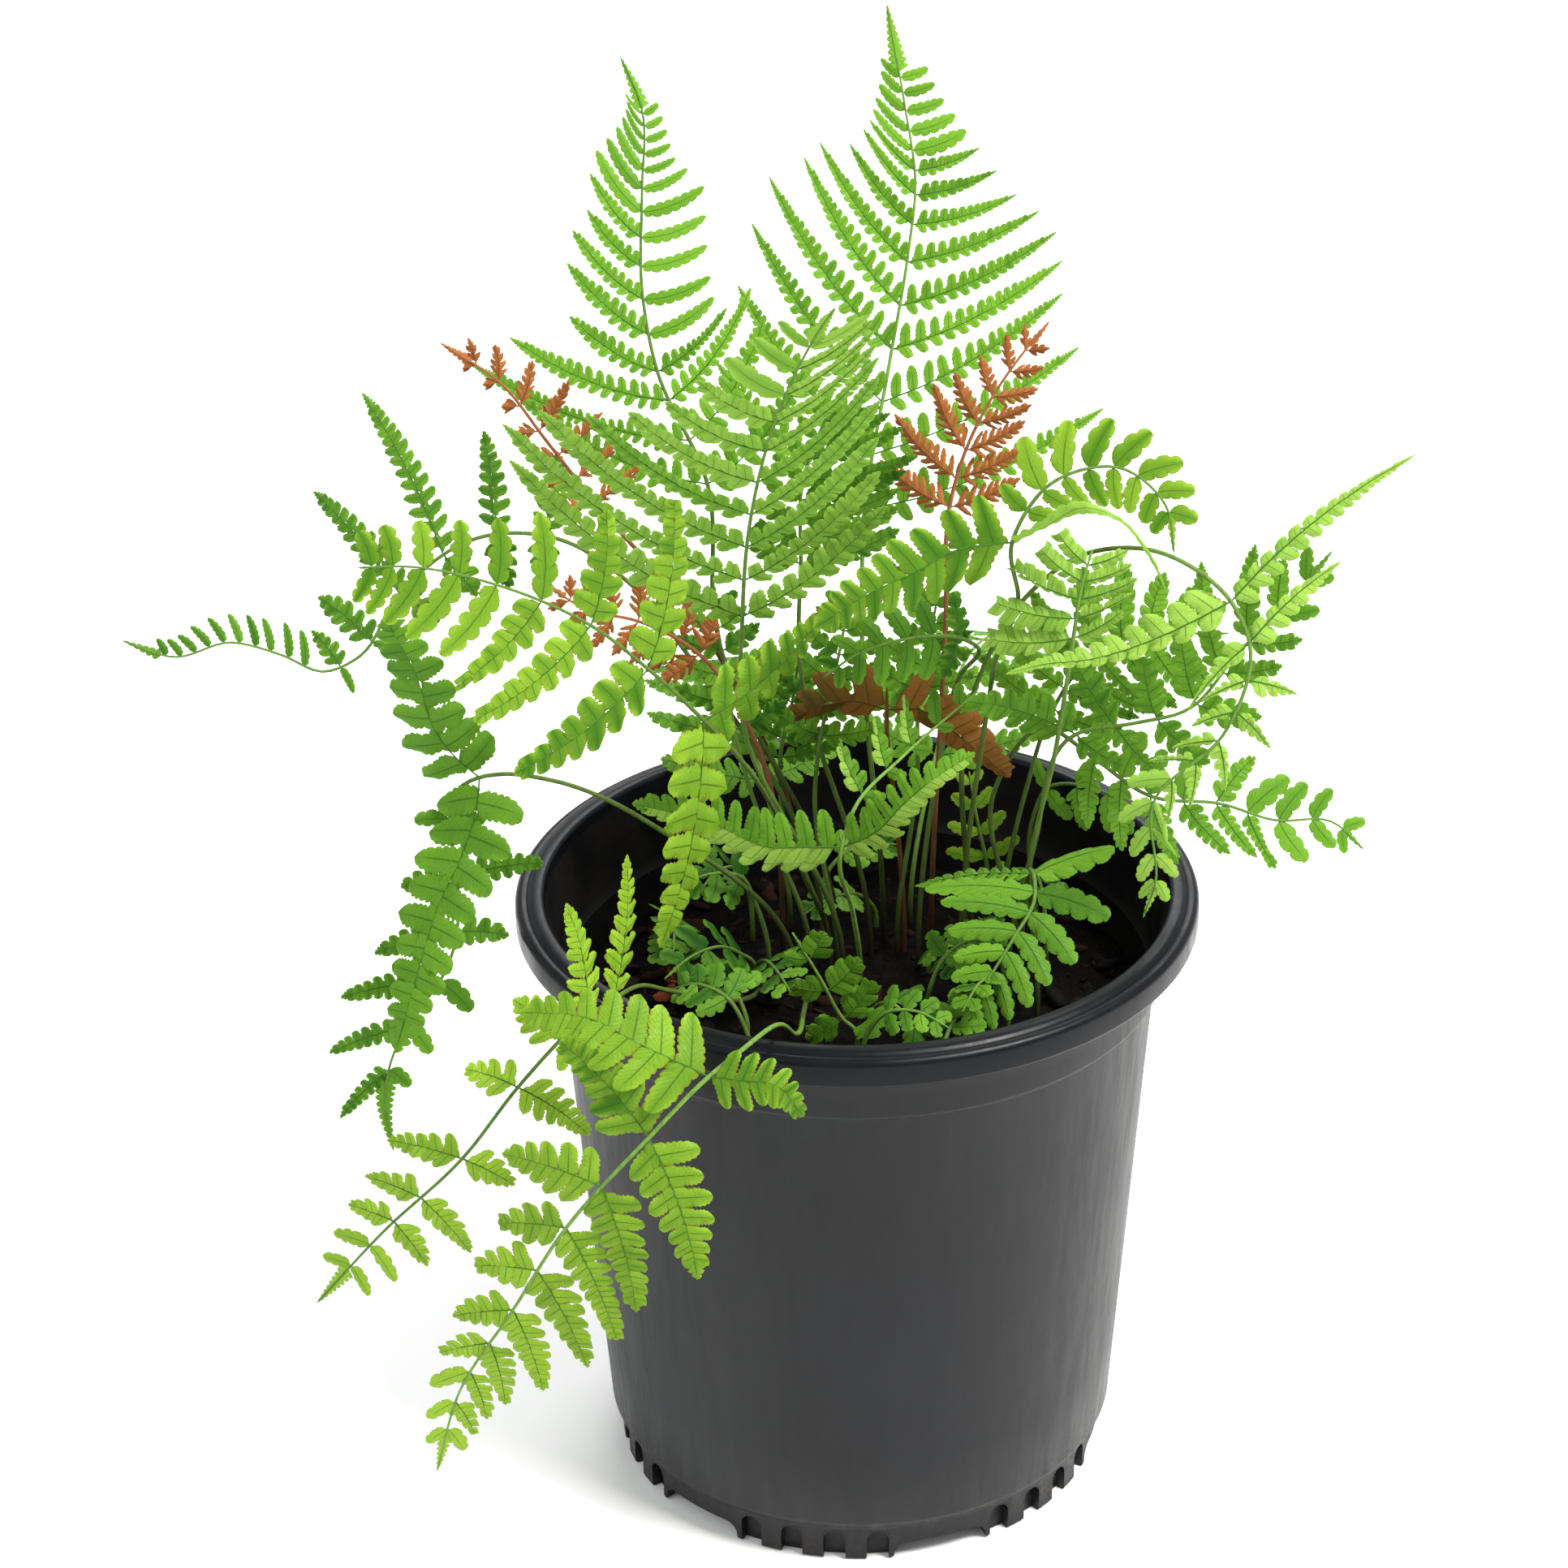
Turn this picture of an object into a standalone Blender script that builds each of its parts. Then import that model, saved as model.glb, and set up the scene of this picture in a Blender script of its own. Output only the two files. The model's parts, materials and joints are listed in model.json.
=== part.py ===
"""A potted autumn fern: a black nursery pot, its mix, and each frond as one thin closed solid.

Metres, +Z up. The origin is on the pot's axis, on the surface that the pot stands on.
The side of the pot that faces -Y is the one in the photograph.
Fronds are tabled in millimetres and degrees and scaled once, in add_node.
"""

import bisect
import math
import random
from dataclasses import dataclass

import bmesh
import bpy
from mathutils import Matrix, Vector
from mathutils.geometry import interpolate_bezier, intersect_point_line

MM = 0.001

# Pot, in millimetres
POT_SIDES = 42
RIM_RADIUS = 98.5
OPENING_RADIUS = 90.0
POT_HEIGHT = 187.1
BAND_RADIUS = 89.4
BAND_LOW = 160.0
BODY_TOP_RADIUS = 86.5
BODY_LOW_RADIUS = 76.2
BODY_LOW = 14.0
FOOT_RADIUS = 73.4
WALL = 1.8
FLOOR = 3.0
FLOOR_RADIUS = 55.0
CHANNEL_HEIGHT = 6.5
CHANNEL_OUT = 66.0
FOOT_GROUPS = 6
FLUTES = 4
FLUTE_STEP = 10.0
FLUTE_WIDTH = 6.5
FLUTE_HEIGHT = 10.0
FLUTE_DEPTH = 3.0
FIRST_GROUP = -11.0
ARCH_WIDTH = 24.0
ARCH_HEIGHT = 5.5
DRAIN_RADIUS = 3.5

# Potting mix
SOIL_SIDES = 24
SOIL_TOP = 152.0
SOIL_GAP = 0.5
HOLE_RADIUS = 1.8
HOLE_DEPTH = 9.0
ROOTED = 8.0

# Fronds
STEM_HALF = 1.25
RACHIS_HALF = 0.8
RIB_HALF = 0.65
NOTCH = 1.0
LOBE_LENGTH = 11.0
MOST_LOBES = 5
LEAST_SPACING = 4.0
CLEAR = 0.8
FAR = 7.0
FORWARD_BEND = 8.0
LINE_STEPS = 10
STEM_STEP = 26.0
STEM_TURN = math.radians(16)
SHARP_BEND = math.radians(40)
SEED = 7

COLOURS = {
    "pot_black": ((0.035, 0.038, 0.044), 0.42),
    "mix_dark": ((0.03, 0.018, 0.012), 0.95),
    "fresh": ((0.24, 0.50, 0.05), 0.5),
    "green": ((0.13, 0.38, 0.05), 0.5),
    "pale": ((0.30, 0.52, 0.14), 0.55),
    "copper": ((0.50, 0.15, 0.05), 0.5),
    "withered": ((0.28, 0.13, 0.05), 0.7),
    "dry": ((0.20, 0.07, 0.03), 0.8),
}


@dataclass
class Frond:
    """One frond, in millimetres and degrees.

    route: points from the mix to the tip. blade_from: the number of the point where the lowest
    pinnae stand. faces: which way the blade faces, spread over the blade. places: where the
    pairs of pinnae stand, or else pairs says how many there are, and with ease above 1 they
    stand closer near the tip. left, right: rows of (place on the blade, pinna length, degrees
    from the rachis, degrees of lift out of the blade). reach: rows of (place, length of the
    longest leaflets). limbs: pinnae with a route of their own, as (hand, number, leaflet
    length, route).
    """

    name: str
    colour: str
    route: tuple
    blade_from: int
    faces: tuple
    left: tuple
    right: tuple
    reach: tuple
    pairs: int = 8
    places: tuple = ()
    ease: float = 1.25
    droop: float = 0.04
    limbs: tuple = ()
    stem: float = STEM_HALF


FRONDS = (
    Frond(
        "frond_tall_right", "green",
        route=((8, 30, 152), (2, 33, 256), (3, 40, 286), (10, 60, 321), (16, 74, 352), (18, 80, 369),
               (15, 86, 391), (10, 91, 419)),
        blade_from=2, faces=((0, -0.95, 0.3), (0, -1, 0.1)), pairs=15, ease=1.7,
        right=((0.0, 74, 62), (0.18, 63, 46), (0.31, 56, 52), (0.42, 49, 55), (0.51, 39, 62), (0.6, 27, 69),
               (0.7, 17, 78), (0.81, 10, 85), (1.0, 3, 70)),
        left=((0.0, 60, 50), (0.2, 64, 47), (0.31, 62, 46), (0.4, 51, 43), (0.48, 45, 44), (0.56, 30, 46),
              (0.7, 17, 35), (0.81, 9, 35), (1.0, 3, 35)),
        reach=((0.0, 7), (0.35, 5), (0.6, 3), (1.0, 1.5)),
    ),
    Frond(
        "frond_tall_left", "green",
        route=((-6, 28, 152), (-40, 20, 262), (-41, 22, 302), (-55, 36, 331), (-59, 47, 350),
               (-59, 62, 374), (-59, 73, 395), (-65, 80, 408)),
        blade_from=2, faces=((0.07, -0.98, 0.2), (0, -0.86, 0.5)), pairs=15, ease=1.6,
        right=((0.0, 42, 55), (0.2, 40, 61), (0.44, 20, 78), (0.59, 20, 66), (0.77, 14, 64), (0.84, 10, 66),
               (1.0, 3, 50)),
        left=((0.0, 60, 50), (0.07, 71, 44), (0.2, 56, 43), (0.35, 36, 36), (0.48, 21, 42), (0.65, 18, 40),
              (0.75, 15, 32), (0.84, 13, 30), (1.0, 3, 30)),
        reach=((0.0, 6), (0.35, 4.5), (0.6, 3), (1.0, 1.5)),
    ),
    Frond(
        "frond_pale_middle", "pale",
        route=((-4, 8, 152), (-32, -2, 242), (-31, -8, 275), (-28, -22, 309), (-20, -38, 346),
               (-8, -54, 377), (-4, -60, 385)),
        blade_from=2, faces=((-0.1, -0.95, -0.25), (-0.1, -0.95, -0.25)), pairs=12, ease=1.35,
        right=((0.0, 52, 48, -18), (0.33, 51, 35, -18), (0.54, 42, 32, -18), (0.75, 28, 30, -18),
               (1.0, 5, 34, -12)),
        left=((0.0, 80, 54), (0.08, 88, 53), (0.15, 76, 54), (0.27, 69, 55), (0.33, 52, 62), (0.44, 38, 68),
              (0.54, 28, 74), (0.75, 16, 70), (1.0, 4, 50)),
        reach=((0.0, 8), (0.4, 7), (0.7, 5), (1.0, 2)),
    ),
    Frond(
        "frond_left_front", "fresh",
        route=((-8, 14, 152), (-15, 0, 189), (-18, -5, 200), (-28, -22, 232), (-41, -40, 259),
               (-55, -53, 281), (-69, -62, 298), (-91, -70, 313), (-115, -77, 322), (-127, -80, 323)),
        blade_from=4, faces=((0.5, -0.75, 0.3), (0.3, -0.9, 0.2)),
        places=(0.0, 0.24, 0.44, 0.575, 0.685, 0.775, 0.855, 0.92, 0.965),
        right=((0.0, 51, 115), (0.24, 46, 59), (0.44, 31, 66), (0.58, 23, 64), (0.69, 17, 72), (0.78, 14, 76),
               (0.92, 11, 76), (1.0, 9, 70)),
        left=((0.0, 65, 121), (0.24, 49, 65), (0.44, 41, 64), (0.57, 31, 66), (0.69, 23, 68), (0.78, 21, 64),
              (0.92, 14, 62), (1.0, 7, 60)),
        reach=((0.0, 11), (0.24, 8.5), (0.5, 6), (0.8, 4), (1.0, 2.5)),
    ),
    Frond(
        "frond_far_left", "green",
        route=((-10, 25, 152), (-49, 20, 252), (-63, 18, 273), (-82, 20, 286), (-104, 26, 285),
               (-131, 29, 265), (-143, 26, 247), (-153, 25, 243), (-165, 24, 249), (-179, 24, 253),
               (-196, 25, 248), (-211, 26, 253)),
        blade_from=3, faces=((-0.2, -0.8, 0.5), (0.1, -0.85, 0.5)),
        places=(0.04, 0.14, 0.25, 0.37, 0.48, 0.56, 0.63, 0.7, 0.76, 0.82, 0.89, 0.95),
        right=((0.0, 22, 88), (0.14, 30, 90), (0.25, 53, 91), (0.37, 39, 95), (0.49, 19, 94), (0.6, 9, 75),
               (0.7, 11, 48), (0.82, 9, 70), (1.0, 4, 60)),
        left=((0.0, 18, 90, -25), (0.4, 14, 90, -25), (0.6, 8, 90, -25), (1.0, 4, 60, -20)),
        reach=((0.0, 5), (0.25, 6), (0.49, 6), (0.6, 2.5), (1.0, 1.5)),
    ),
    Frond(
        "frond_over_left_rim", "green",
        route=((-18, 5, 152), (-55, -3, 205), (-86, -9, 225), (-100, -11, 228), (-106, -11, 227),
               (-112, -10, 223), (-115, -12, 214), (-114, -15, 203), (-113, -19, 190), (-117, -23, 172),
               (-125, -28, 161), (-133, -31, 148), (-136, -34, 133), (-134, -37, 119)),
        blade_from=4, faces=((0.1, -0.95, 0.3), (0.2, -0.95, 0.2), (0.2, -0.95, 0.2)),
        places=(0.0, 0.14, 0.28, 0.41, 0.54, 0.67, 0.79, 0.9),
        right=((0.0, 12, 80), (0.14, 10, 85), (0.28, 16, 88), (0.5, 30, 54), (0.67, 24, 40), (0.8, 20, 30),
               (1.0, 4, 30)),
        left=((0.0, 12, 90), (0.14, 10, 90), (0.28, 25, 92), (0.41, 15, 90), (0.6, 12, 70), (1.0, 4, 50)),
        reach=((0.0, 5), (0.5, 5), (1.0, 2)),
        limbs=(
            (1, 0, 13, ((-112, -14, 234), (-118, -18, 246), (-121, -20, 262), (-128, -22, 282))),
            (-1, 0, 13, ((-107, -17, 221), (-111, -27, 211), (-117, -36, 201), (-124, -44, 180),
                         (-130, -48, 159))),
        ),
    ),
    Frond(
        "frond_hanging_front", "fresh",
        route=((-14, -8, 152), (-15, -20, 157), (-17, -62, 173), (-22, -84, 189), (-32, -104, 192),
               (-39, -110, 189), (-55, -118, 175), (-77, -118, 148), (-94, -114, 117), (-110, -108, 87),
               (-119, -102, 54)),
        blade_from=5, faces=((0.2, -0.8, 0.4), (0.0, -0.9, 0.4), (0.2, -0.95, -0.2)),
        places=(0.0, 0.14, 0.26, 0.365, 0.47, 0.57, 0.66, 0.74, 0.82, 0.89, 0.95),
        right=((0.0, 50, 60), (0.14, 35, 96), (0.26, 28, 66), (0.36, 19, 54), (0.47, 18, 58), (0.57, 18, 46),
               (0.71, 14, 36), (1.0, 4, 35)),
        left=((0.0, 29, 110), (0.14, 41, 61), (0.26, 38, 52), (0.41, 35, 56), (0.54, 30, 46), (0.63, 24, 38),
              (0.71, 21, 36), (1.0, 4, 35)),
        reach=((0.0, 9), (0.14, 9), (0.3, 8), (0.6, 5), (1.0, 2)),
        limbs=(
            (1, 0, 15, ((-58, -110, 199), (-70, -106, 204), (-89, -100, 203))),
            (-1, 0, 7, ((-31, -114, 190), (-22, -116, 190), (-14, -114, 179))),
        ),
    ),
    Frond(
        "frond_hanging_left", "fresh",
        route=((-26, -4, 152), (-30, -14, 157), (-52, -45, 177), (-60, -61, 188), (-66, -75, 192),
               (-77, -90, 191), (-90, -97, 179), (-106, -98, 157), (-130, -92, 129), (-152, -84, 99)),
        blade_from=4, faces=((0.75, -0.65, 0.1), (0.1, -0.9, 0.3), (-0.4, -0.85, 0.2)),
        places=(0.0, 0.08, 0.16, 0.28, 0.475, 0.61, 0.7, 0.785, 0.86, 0.93),
        right=((0.0, 40, 104), (0.08, 34, 92), (0.16, 20, 84), (0.28, 16, 78), (0.475, 21, 64), (0.67, 15, 60),
               (1.0, 5, 50)),
        left=((0.0, 0, 80), (0.08, 8, 80), (0.16, 20, 88), (0.28, 26, 88), (0.475, 16, 100), (0.62, 21, 84),
              (0.71, 15, 78), (1.0, 5, 60)),
        reach=((0.0, 7), (0.3, 5.5), (0.7, 4.5), (1.0, 2)),
    ),
    Frond(
        "frond_arched_right", "green",
        route=((30, 5, 152), (37, 0, 240), (40, -5, 263), (45, -10, 279), (43, -13, 299), (54, -9, 315),
               (73, -7, 318), (85, -11, 308), (87, -15, 296)),
        blade_from=4, faces=((0, -1, 0.1), (0.1, -0.95, 0.2)),
        places=(0.0, 0.14, 0.24, 0.34, 0.44, 0.54, 0.64, 0.74, 0.83, 0.92),
        right=((0.0, 40, 103), (0.14, 9, 70), (0.34, 12, 74), (0.54, 12, 74), (0.74, 9, 62), (1.0, 4, 50)),
        left=((0.0, 60, 125), (0.14, 10, 75), (0.24, 16, 66), (0.44, 15, 54), (0.64, 13, 48), (0.8, 9, 52),
              (1.0, 4, 50)),
        reach=((0.0, 13), (0.1, 4), (1.0, 3)),
        limbs=(
            (-1, 0, 14, ((27, -17, 299), (18, -22, 296), (5, -28, 292), (-11, -35, 284))),
            (1, 0, 4.5, ((52, -18, 306), (62, -24, 314), (71, -27, 312), (79, -28, 302), (84, -28, 291))),
        ),
    ),
    Frond(
        "frond_far_right", "pale",
        route=((34, 14, 152), (34, 16, 240), (48, 10, 272), (67, -3, 292), (85, -15, 296), (102, -24, 286),
               (107, -28, 276), (101, -33, 251), (82, -35, 231), (83, -35, 204), (80, -35, 194)),
        blade_from=5, faces=((-0.1, -0.9, 0.4), (-0.2, -0.98, 0.05)),
        places=(0.0, 0.12, 0.22, 0.31, 0.4, 0.48, 0.56, 0.64, 0.72, 0.8, 0.88),
        right=((0.0, 34, 128), (0.12, 26, 52), (0.24, 13, 50), (0.5, 13, 36), (0.8, 10, 32), (1.0, 4, 30)),
        left=((0.0, 63, 93), (0.12, 33, 122), (0.22, 14, 88), (0.4, 14, 46), (0.7, 12, 36), (1.0, 4, 30)),
        reach=((0.0, 6), (0.12, 6), (0.2, 4), (0.6, 3.5), (1.0, 2)),
        limbs=(
            (1, 0, 8, ((91, -26, 280), (77, -26, 273), (64, -28, 270), (52, -30, 270), (41, -31, 268))),
        ),
    ),
    Frond(
        "frond_right_behind", "green",
        route=((44, 2, 152), (51, 0, 198), (62, -4, 236), (79, -7, 241), (92, -8, 245), (107, -8, 264),
               (121, -8, 280), (131, -8, 294)),
        blade_from=2, faces=((-0.3, -0.9, 0.3), (-0.3, -0.9, 0.2)), pairs=8, ease=1.0,
        right=((0.0, 16, 60), (0.3, 20, 50), (0.6, 16, 42), (1.0, 4, 35)),
        left=((0.0, 34, 130), (0.12, 28, 112), (0.25, 18, 90), (0.38, 24, 60), (0.5, 32, 46), (0.62, 28, 40),
              (0.75, 16, 38), (1.0, 4, 35)),
        reach=((0.0, 9), (0.3, 6), (0.6, 4.5), (1.0, 2)),
        limbs=(
            (-1, 0, 8, ((54, -7, 242), (42, -10, 248), (31, -13, 251))),
        ),
    ),
    Frond(
        "frond_pale_right", "pale",
        route=((47, -5, 152), (50, -5, 198), (56, -13, 236), (58, -16, 254), (60, -17, 272),
               (62, -16, 287), (65, -14, 298)),
        blade_from=4, faces=((-0.1, -0.95, 0.1), (-0.1, -0.95, 0.1)),
        places=(0.0, 0.22, 0.43, 0.62, 0.8),
        right=((0.0, 16, 50), (0.36, 18, 60), (1.0, 9, 50)),
        left=((0.0, 23, 100), (0.36, 22, 78), (0.6, 15, 66), (1.0, 9, 50)),
        reach=((0.0, 8), (1.0, 6)),
    ),
    Frond(
        "frond_right_middle", "green",
        route=((42, 20, 152), (50, 25, 205), (57, 24, 230), (66, 21, 246), (79, 18, 254), (94, 15, 258),
               (106, 13, 259)),
        blade_from=2, faces=((-0.1, -0.9, 0.4), (-0.1, -0.9, 0.4)), pairs=8, ease=1.0,
        right=((0.0, 22, 80), (0.4, 26, 70), (0.75, 18, 60), (1.0, 5, 45)),
        left=((0.0, 26, 80), (0.4, 26, 70), (0.75, 16, 60), (1.0, 5, 45)),
        reach=((0.0, 6), (0.6, 5), (1.0, 2)),
    ),
    Frond(
        "frond_low_right", "green",
        route=((48, 10, 152), (40, 14, 209), (55, 6, 233), (68, 2, 225), (84, 0, 214), (104, 1, 211),
               (120, 2, 205), (136, 3, 204), (146, 2, 195)),
        blade_from=3, faces=((0, -0.8, 0.6), (0.1, -0.9, 0.4)), pairs=9, ease=1.0,
        right=((0.0, 20, 60), (0.22, 21, 48), (0.54, 19, 42), (0.73, 12, 52), (1.0, 4, 40)),
        left=((0.0, 16, 105), (0.22, 14, 90), (0.46, 18, 55), (0.65, 14, 57), (1.0, 4, 50)),
        reach=((0.0, 4.5), (0.6, 4.5), (1.0, 2)),
    ),
    Frond(
        "frond_small_front_right", "green",
        route=((52, -14, 152), (50, -10, 184), (49, -14, 198), (50, -20, 200), (50, -28, 196),
               (44, -37, 189), (35, -45, 177), (27, -52, 165)),
        blade_from=3, faces=((-0.1, -0.8, 0.6), (0, -0.8, 0.6)),
        places=(0.0, 0.12, 0.24, 0.36, 0.48, 0.6, 0.71, 0.81, 0.9),
        right=((0.0, 36, 112), (0.15, 30, 84), (0.3, 22, 62), (0.5, 14, 50), (1.0, 4, 40)),
        left=((0.0, 24, 90), (0.15, 22, 66), (0.3, 18, 62), (0.5, 17, 52), (1.0, 4, 40)),
        reach=((0.0, 5.5), (0.3, 5), (0.6, 4), (1.0, 2)),
    ),
    Frond(
        "frond_curled_front", "fresh",
        route=((1, 1, 152), (-1, -10, 182), (-4, -24, 211), (0, -20, 222), (13, -10, 232), (35, 6, 245)),
        blade_from=2, faces=((0, -0.95, 0.1), (0.25, -0.75, 0.6)),
        places=(0.0, 0.26, 0.42, 0.58, 0.74, 0.88),
        right=((0.0, 40, 60), (0.2, 8, 60, -20), (1.0, 4, 40, -20)),
        left=((0.0, 60, 89), (0.2, 17, 60), (0.34, 15, 66), (0.49, 14, 58), (0.66, 12, 55), (1.0, 4, 45)),
        reach=((0.0, 8), (0.2, 3.5), (1.0, 2)),
        limbs=(
            (-1, 0, 9, ((-14, -28, 214), (-25, -33, 217), (-38, -34, 224), (-62, -29, 228))),
            (1, 0, 7, ((6, -27, 218), (13, -30, 228), (23, -32, 238), (33, -29, 243))),
        ),
    ),
    Frond(
        "frond_middle_behind", "green",
        route=((4, 22, 152), (-16, 20, 250), (-15, 14, 281), (-14, 10, 308), (-9, 8, 324), (-2, 6, 336)),
        blade_from=2, faces=((0, -1, 0), (-0.2, -0.97, 0)), pairs=9, ease=1.1,
        right=((0.0, 30, 66), (0.26, 30, 68), (0.48, 33, 63), (0.61, 28, 48), (0.75, 20, 42), (1.0, 5, 40)),
        left=((0.0, 15, 65), (0.4, 12, 60), (1.0, 4, 50)),
        reach=((0.0, 4.5), (1.0, 2)),
    ),
    Frond(
        "frond_dark_middle", "green",
        route=((18, 14, 152), (24, 18, 215), (30, 16, 245), (35, 8, 257), (29, 3, 263), (14, 0, 264),
               (0, -2, 260), (-9, -4, 254)),
        blade_from=4, faces=((0, -0.85, 0.5), (0, -0.85, 0.5)), pairs=6, ease=1.1,
        right=((0.0, 13, 70), (0.5, 12, 65), (1.0, 4, 45)),
        left=((0.0, 13, 75), (0.5, 12, 70), (1.0, 4, 45)),
        reach=((0.0, 3.5), (1.0, 2)),
    ),
    Frond(
        "frond_back_right", "green",
        route=((16, 40, 152), (24, 62, 196), (34, 92, 214), (46, 122, 208), (56, 148, 186)),
        blade_from=1, faces=((0.1, 0.4, 0.9), (0.2, 0.85, 0.5)), pairs=10, ease=1.3,
        right=((0.0, 34, 70), (0.2, 36, 66), (0.5, 26, 60), (1.0, 4, 45)),
        left=((0.0, 30, 70), (0.2, 32, 66), (0.5, 24, 60), (1.0, 4, 45)),
        reach=((0.0, 7), (0.5, 5.5), (1.0, 2)),
    ),
    Frond(
        "frond_back_left", "green",
        route=((-20, 38, 152), (-28, 58, 190), (-36, 86, 208), (-44, 112, 204), (-52, 136, 184)),
        blade_from=1, faces=((-0.1, 0.4, 0.9), (-0.2, 0.85, 0.5)), pairs=9, ease=1.3,
        right=((0.0, 30, 70), (0.2, 32, 66), (0.5, 24, 60), (1.0, 4, 45)),
        left=((0.0, 32, 70), (0.2, 34, 66), (0.5, 24, 60), (1.0, 4, 45)),
        reach=((0.0, 7), (0.5, 5.5), (1.0, 2)),
    ),
    Frond(
        "copper_frond_right", "copper",
        route=((22, 24, 152), (26, 26, 259), (27, 30, 291), (31, 32, 306), (38, 34, 321), (46, 36, 333),
               (55, 38, 344)),
        blade_from=2, faces=((-0.1, -0.98, 0.15), (-0.4, -0.8, 0.3)), pairs=8, ease=1.0,
        right=((0.0, 22, 56), (0.12, 21, 50), (0.3, 19, 40), (0.58, 13, 48), (1.0, 3, 45)),
        left=((0.0, 24, 66), (0.12, 26, 62), (0.25, 22, 46), (0.5, 13, 55), (0.65, 12, 40), (1.0, 3, 40)),
        reach=((0.0, 3.5), (0.5, 2.5), (1.0, 1)),
    ),
    Frond(
        "copper_frond_left", "copper",
        route=((-14, 32, 152), (-44, 24, 257), (-72, 8, 303), (-84, 0, 325), (-95, -6, 344),
               (-110, -12, 358)),
        blade_from=2, faces=((0.36, -0.93, 0.1), (0.36, -0.91, 0.2)), pairs=8, ease=1.0,
        right=((0.0, 17, 95), (0.26, 17, 90), (0.35, 18, 76), (0.5, 14, 58), (0.65, 12, 40), (1.0, 4, 35)),
        left=((0.0, 10, 60), (0.5, 6, 50), (1.0, 3, 40)),
        reach=((0.0, 3), (0.5, 2.5), (1.0, 1)),
    ),
    Frond(
        "copper_frond_low", "copper",
        route=((-22, 20, 152), (-30, 13, 229), (-44, 8, 256), (-60, 2, 269), (-75, -2, 275), (-86, -4, 284)),
        blade_from=2, faces=((0, -0.9, 0.4), (0.1, -0.95, 0.2)), pairs=6, ease=1.0,
        right=((0.0, 12, 70), (0.5, 14, 70), (1.0, 4, 45)),
        left=((0.0, 14, 75), (0.5, 12, 70), (1.0, 4, 45)),
        reach=((0.0, 3.5), (1.0, 1.5)),
    ),
    Frond(
        "frond_withered", "withered",
        route=((14, 24, 152), (10, 20, 215), (9, 13, 228), (9, 12, 236), (9, 11, 244)),
        blade_from=3, faces=((0, -0.99, 0.1), (0, -0.99, 0.1)), places=(0.0,),
        right=((0.0, 30, 80), (0.45, 9, 50), (1.0, 4, 40)),
        left=((0.0, 30, 80), (0.45, 9, 50), (1.0, 4, 40)),
        reach=((0.0, 8), (0.2, 3), (1.0, 2)),
        limbs=(
            (-1, 0, 8, ((0, 12, 239), (-8, 12, 238), (-17, 12, 234))),
            (1, 0, 7, ((18, 11, 237), (30, 9, 229), (44, 8, 216))),
        ),
    ),
    Frond(
        "leaf_dry", "dry",
        route=((-34, -9, 152), (-35, -9, 154), (-38, -8, 156), (-44, -7, 157), (-50, -5, 156),
               (-56, -3, 156)),
        blade_from=2, faces=((0, -0.3, 0.95), (0, -0.3, 0.95)), places=(0.0, 0.45),
        right=((0.0, 7, 80), (0.45, 10, 60), (1.0, 8, 50)),
        left=((0.0, 9, 85), (1.0, 8, 50)),
        reach=((0.0, 5), (1.0, 4)),
    ),
    Frond(
        "leaf_front_low", "fresh",
        route=((0, -32, 152), (-4, -34, 161), (-10, -36, 175), (-18, -35, 190)),
        blade_from=1, faces=((-0.2, -0.85, 0.5), (-0.3, -0.9, 0.3)), places=(0.0, 0.35, 0.7),
        right=((0.0, 15, 70), (0.35, 15, 60), (1.0, 6, 45)),
        left=((0.0, 12, 80), (0.35, 10, 60), (1.0, 5, 45)),
        reach=((0.0, 4), (1.0, 3)),
    ),
    Frond(
        "leaf_front_round", "green",
        route=((4, -22, 152), (5, -26, 160), (10, -34, 166), (17, -43, 164), (27, -46, 160)),
        blade_from=2, faces=((0, -0.5, 0.85), (0.1, -0.6, 0.8)), places=(0.0, 0.5),
        right=((0.0, 15, 75), (0.5, 9, 60), (1.0, 5, 45)),
        left=((0.0, 10, 75), (0.5, 8, 60), (1.0, 5, 45)),
        reach=((0.0, 5), (1.0, 4)),
    ),
    Frond(
        "leaf_left_middle", "green",
        route=((-26, 13, 152), (-30, 12, 174), (-34, 9, 184), (-41, 7, 186), (-50, 5, 184)),
        blade_from=2, faces=((0, -0.6, 0.8), (0, -0.7, 0.7)), places=(0.0, 0.4, 0.75),
        right=((0.0, 11, 80), (0.5, 9, 65), (1.0, 4, 45)),
        left=((0.0, 11, 80), (0.5, 9, 65), (1.0, 4, 45)),
        reach=((0.0, 3.5), (1.0, 2.5)),
    ),
    Frond(
        "leaf_left_low", "green",
        route=((-30, 6, 152), (-34, 0, 163), (-40, -8, 170), (-48, -16, 171), (-55, -23, 168)),
        blade_from=1, faces=((0, -0.5, 0.85), (0, -0.6, 0.75)), places=(0.0, 0.25, 0.5, 0.75),
        right=((0.0, 10, 80), (0.5, 11, 70), (1.0, 4, 50)),
        left=((0.0, 10, 80), (0.5, 11, 70), (1.0, 4, 50)),
        reach=((0.0, 3.5), (1.0, 2.5)),
    ),
    Frond(
        "leaf_right_strap", "green",
        route=((54, 24, 152), (52, 32, 190), (56, 32, 200), (70, 26, 203), (84, 18, 197)),
        blade_from=2, faces=((0, -0.7, 0.7), (0.1, -0.8, 0.6)), places=(0.0, 0.3, 0.6, 0.82),
        right=((0.0, 12, 80), (0.3, 15, 65), (0.6, 12, 55), (1.0, 5, 45)),
        left=((0.0, 10, 80), (0.5, 9, 60), (1.0, 4, 45)),
        reach=((0.0, 4), (1.0, 2.5)),
    ),
    Frond(
        "leaf_right_upright", "fresh",
        route=((40, 32, 152), (38, 27, 180), (36, 26, 190), (33, 28, 208)),
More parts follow.
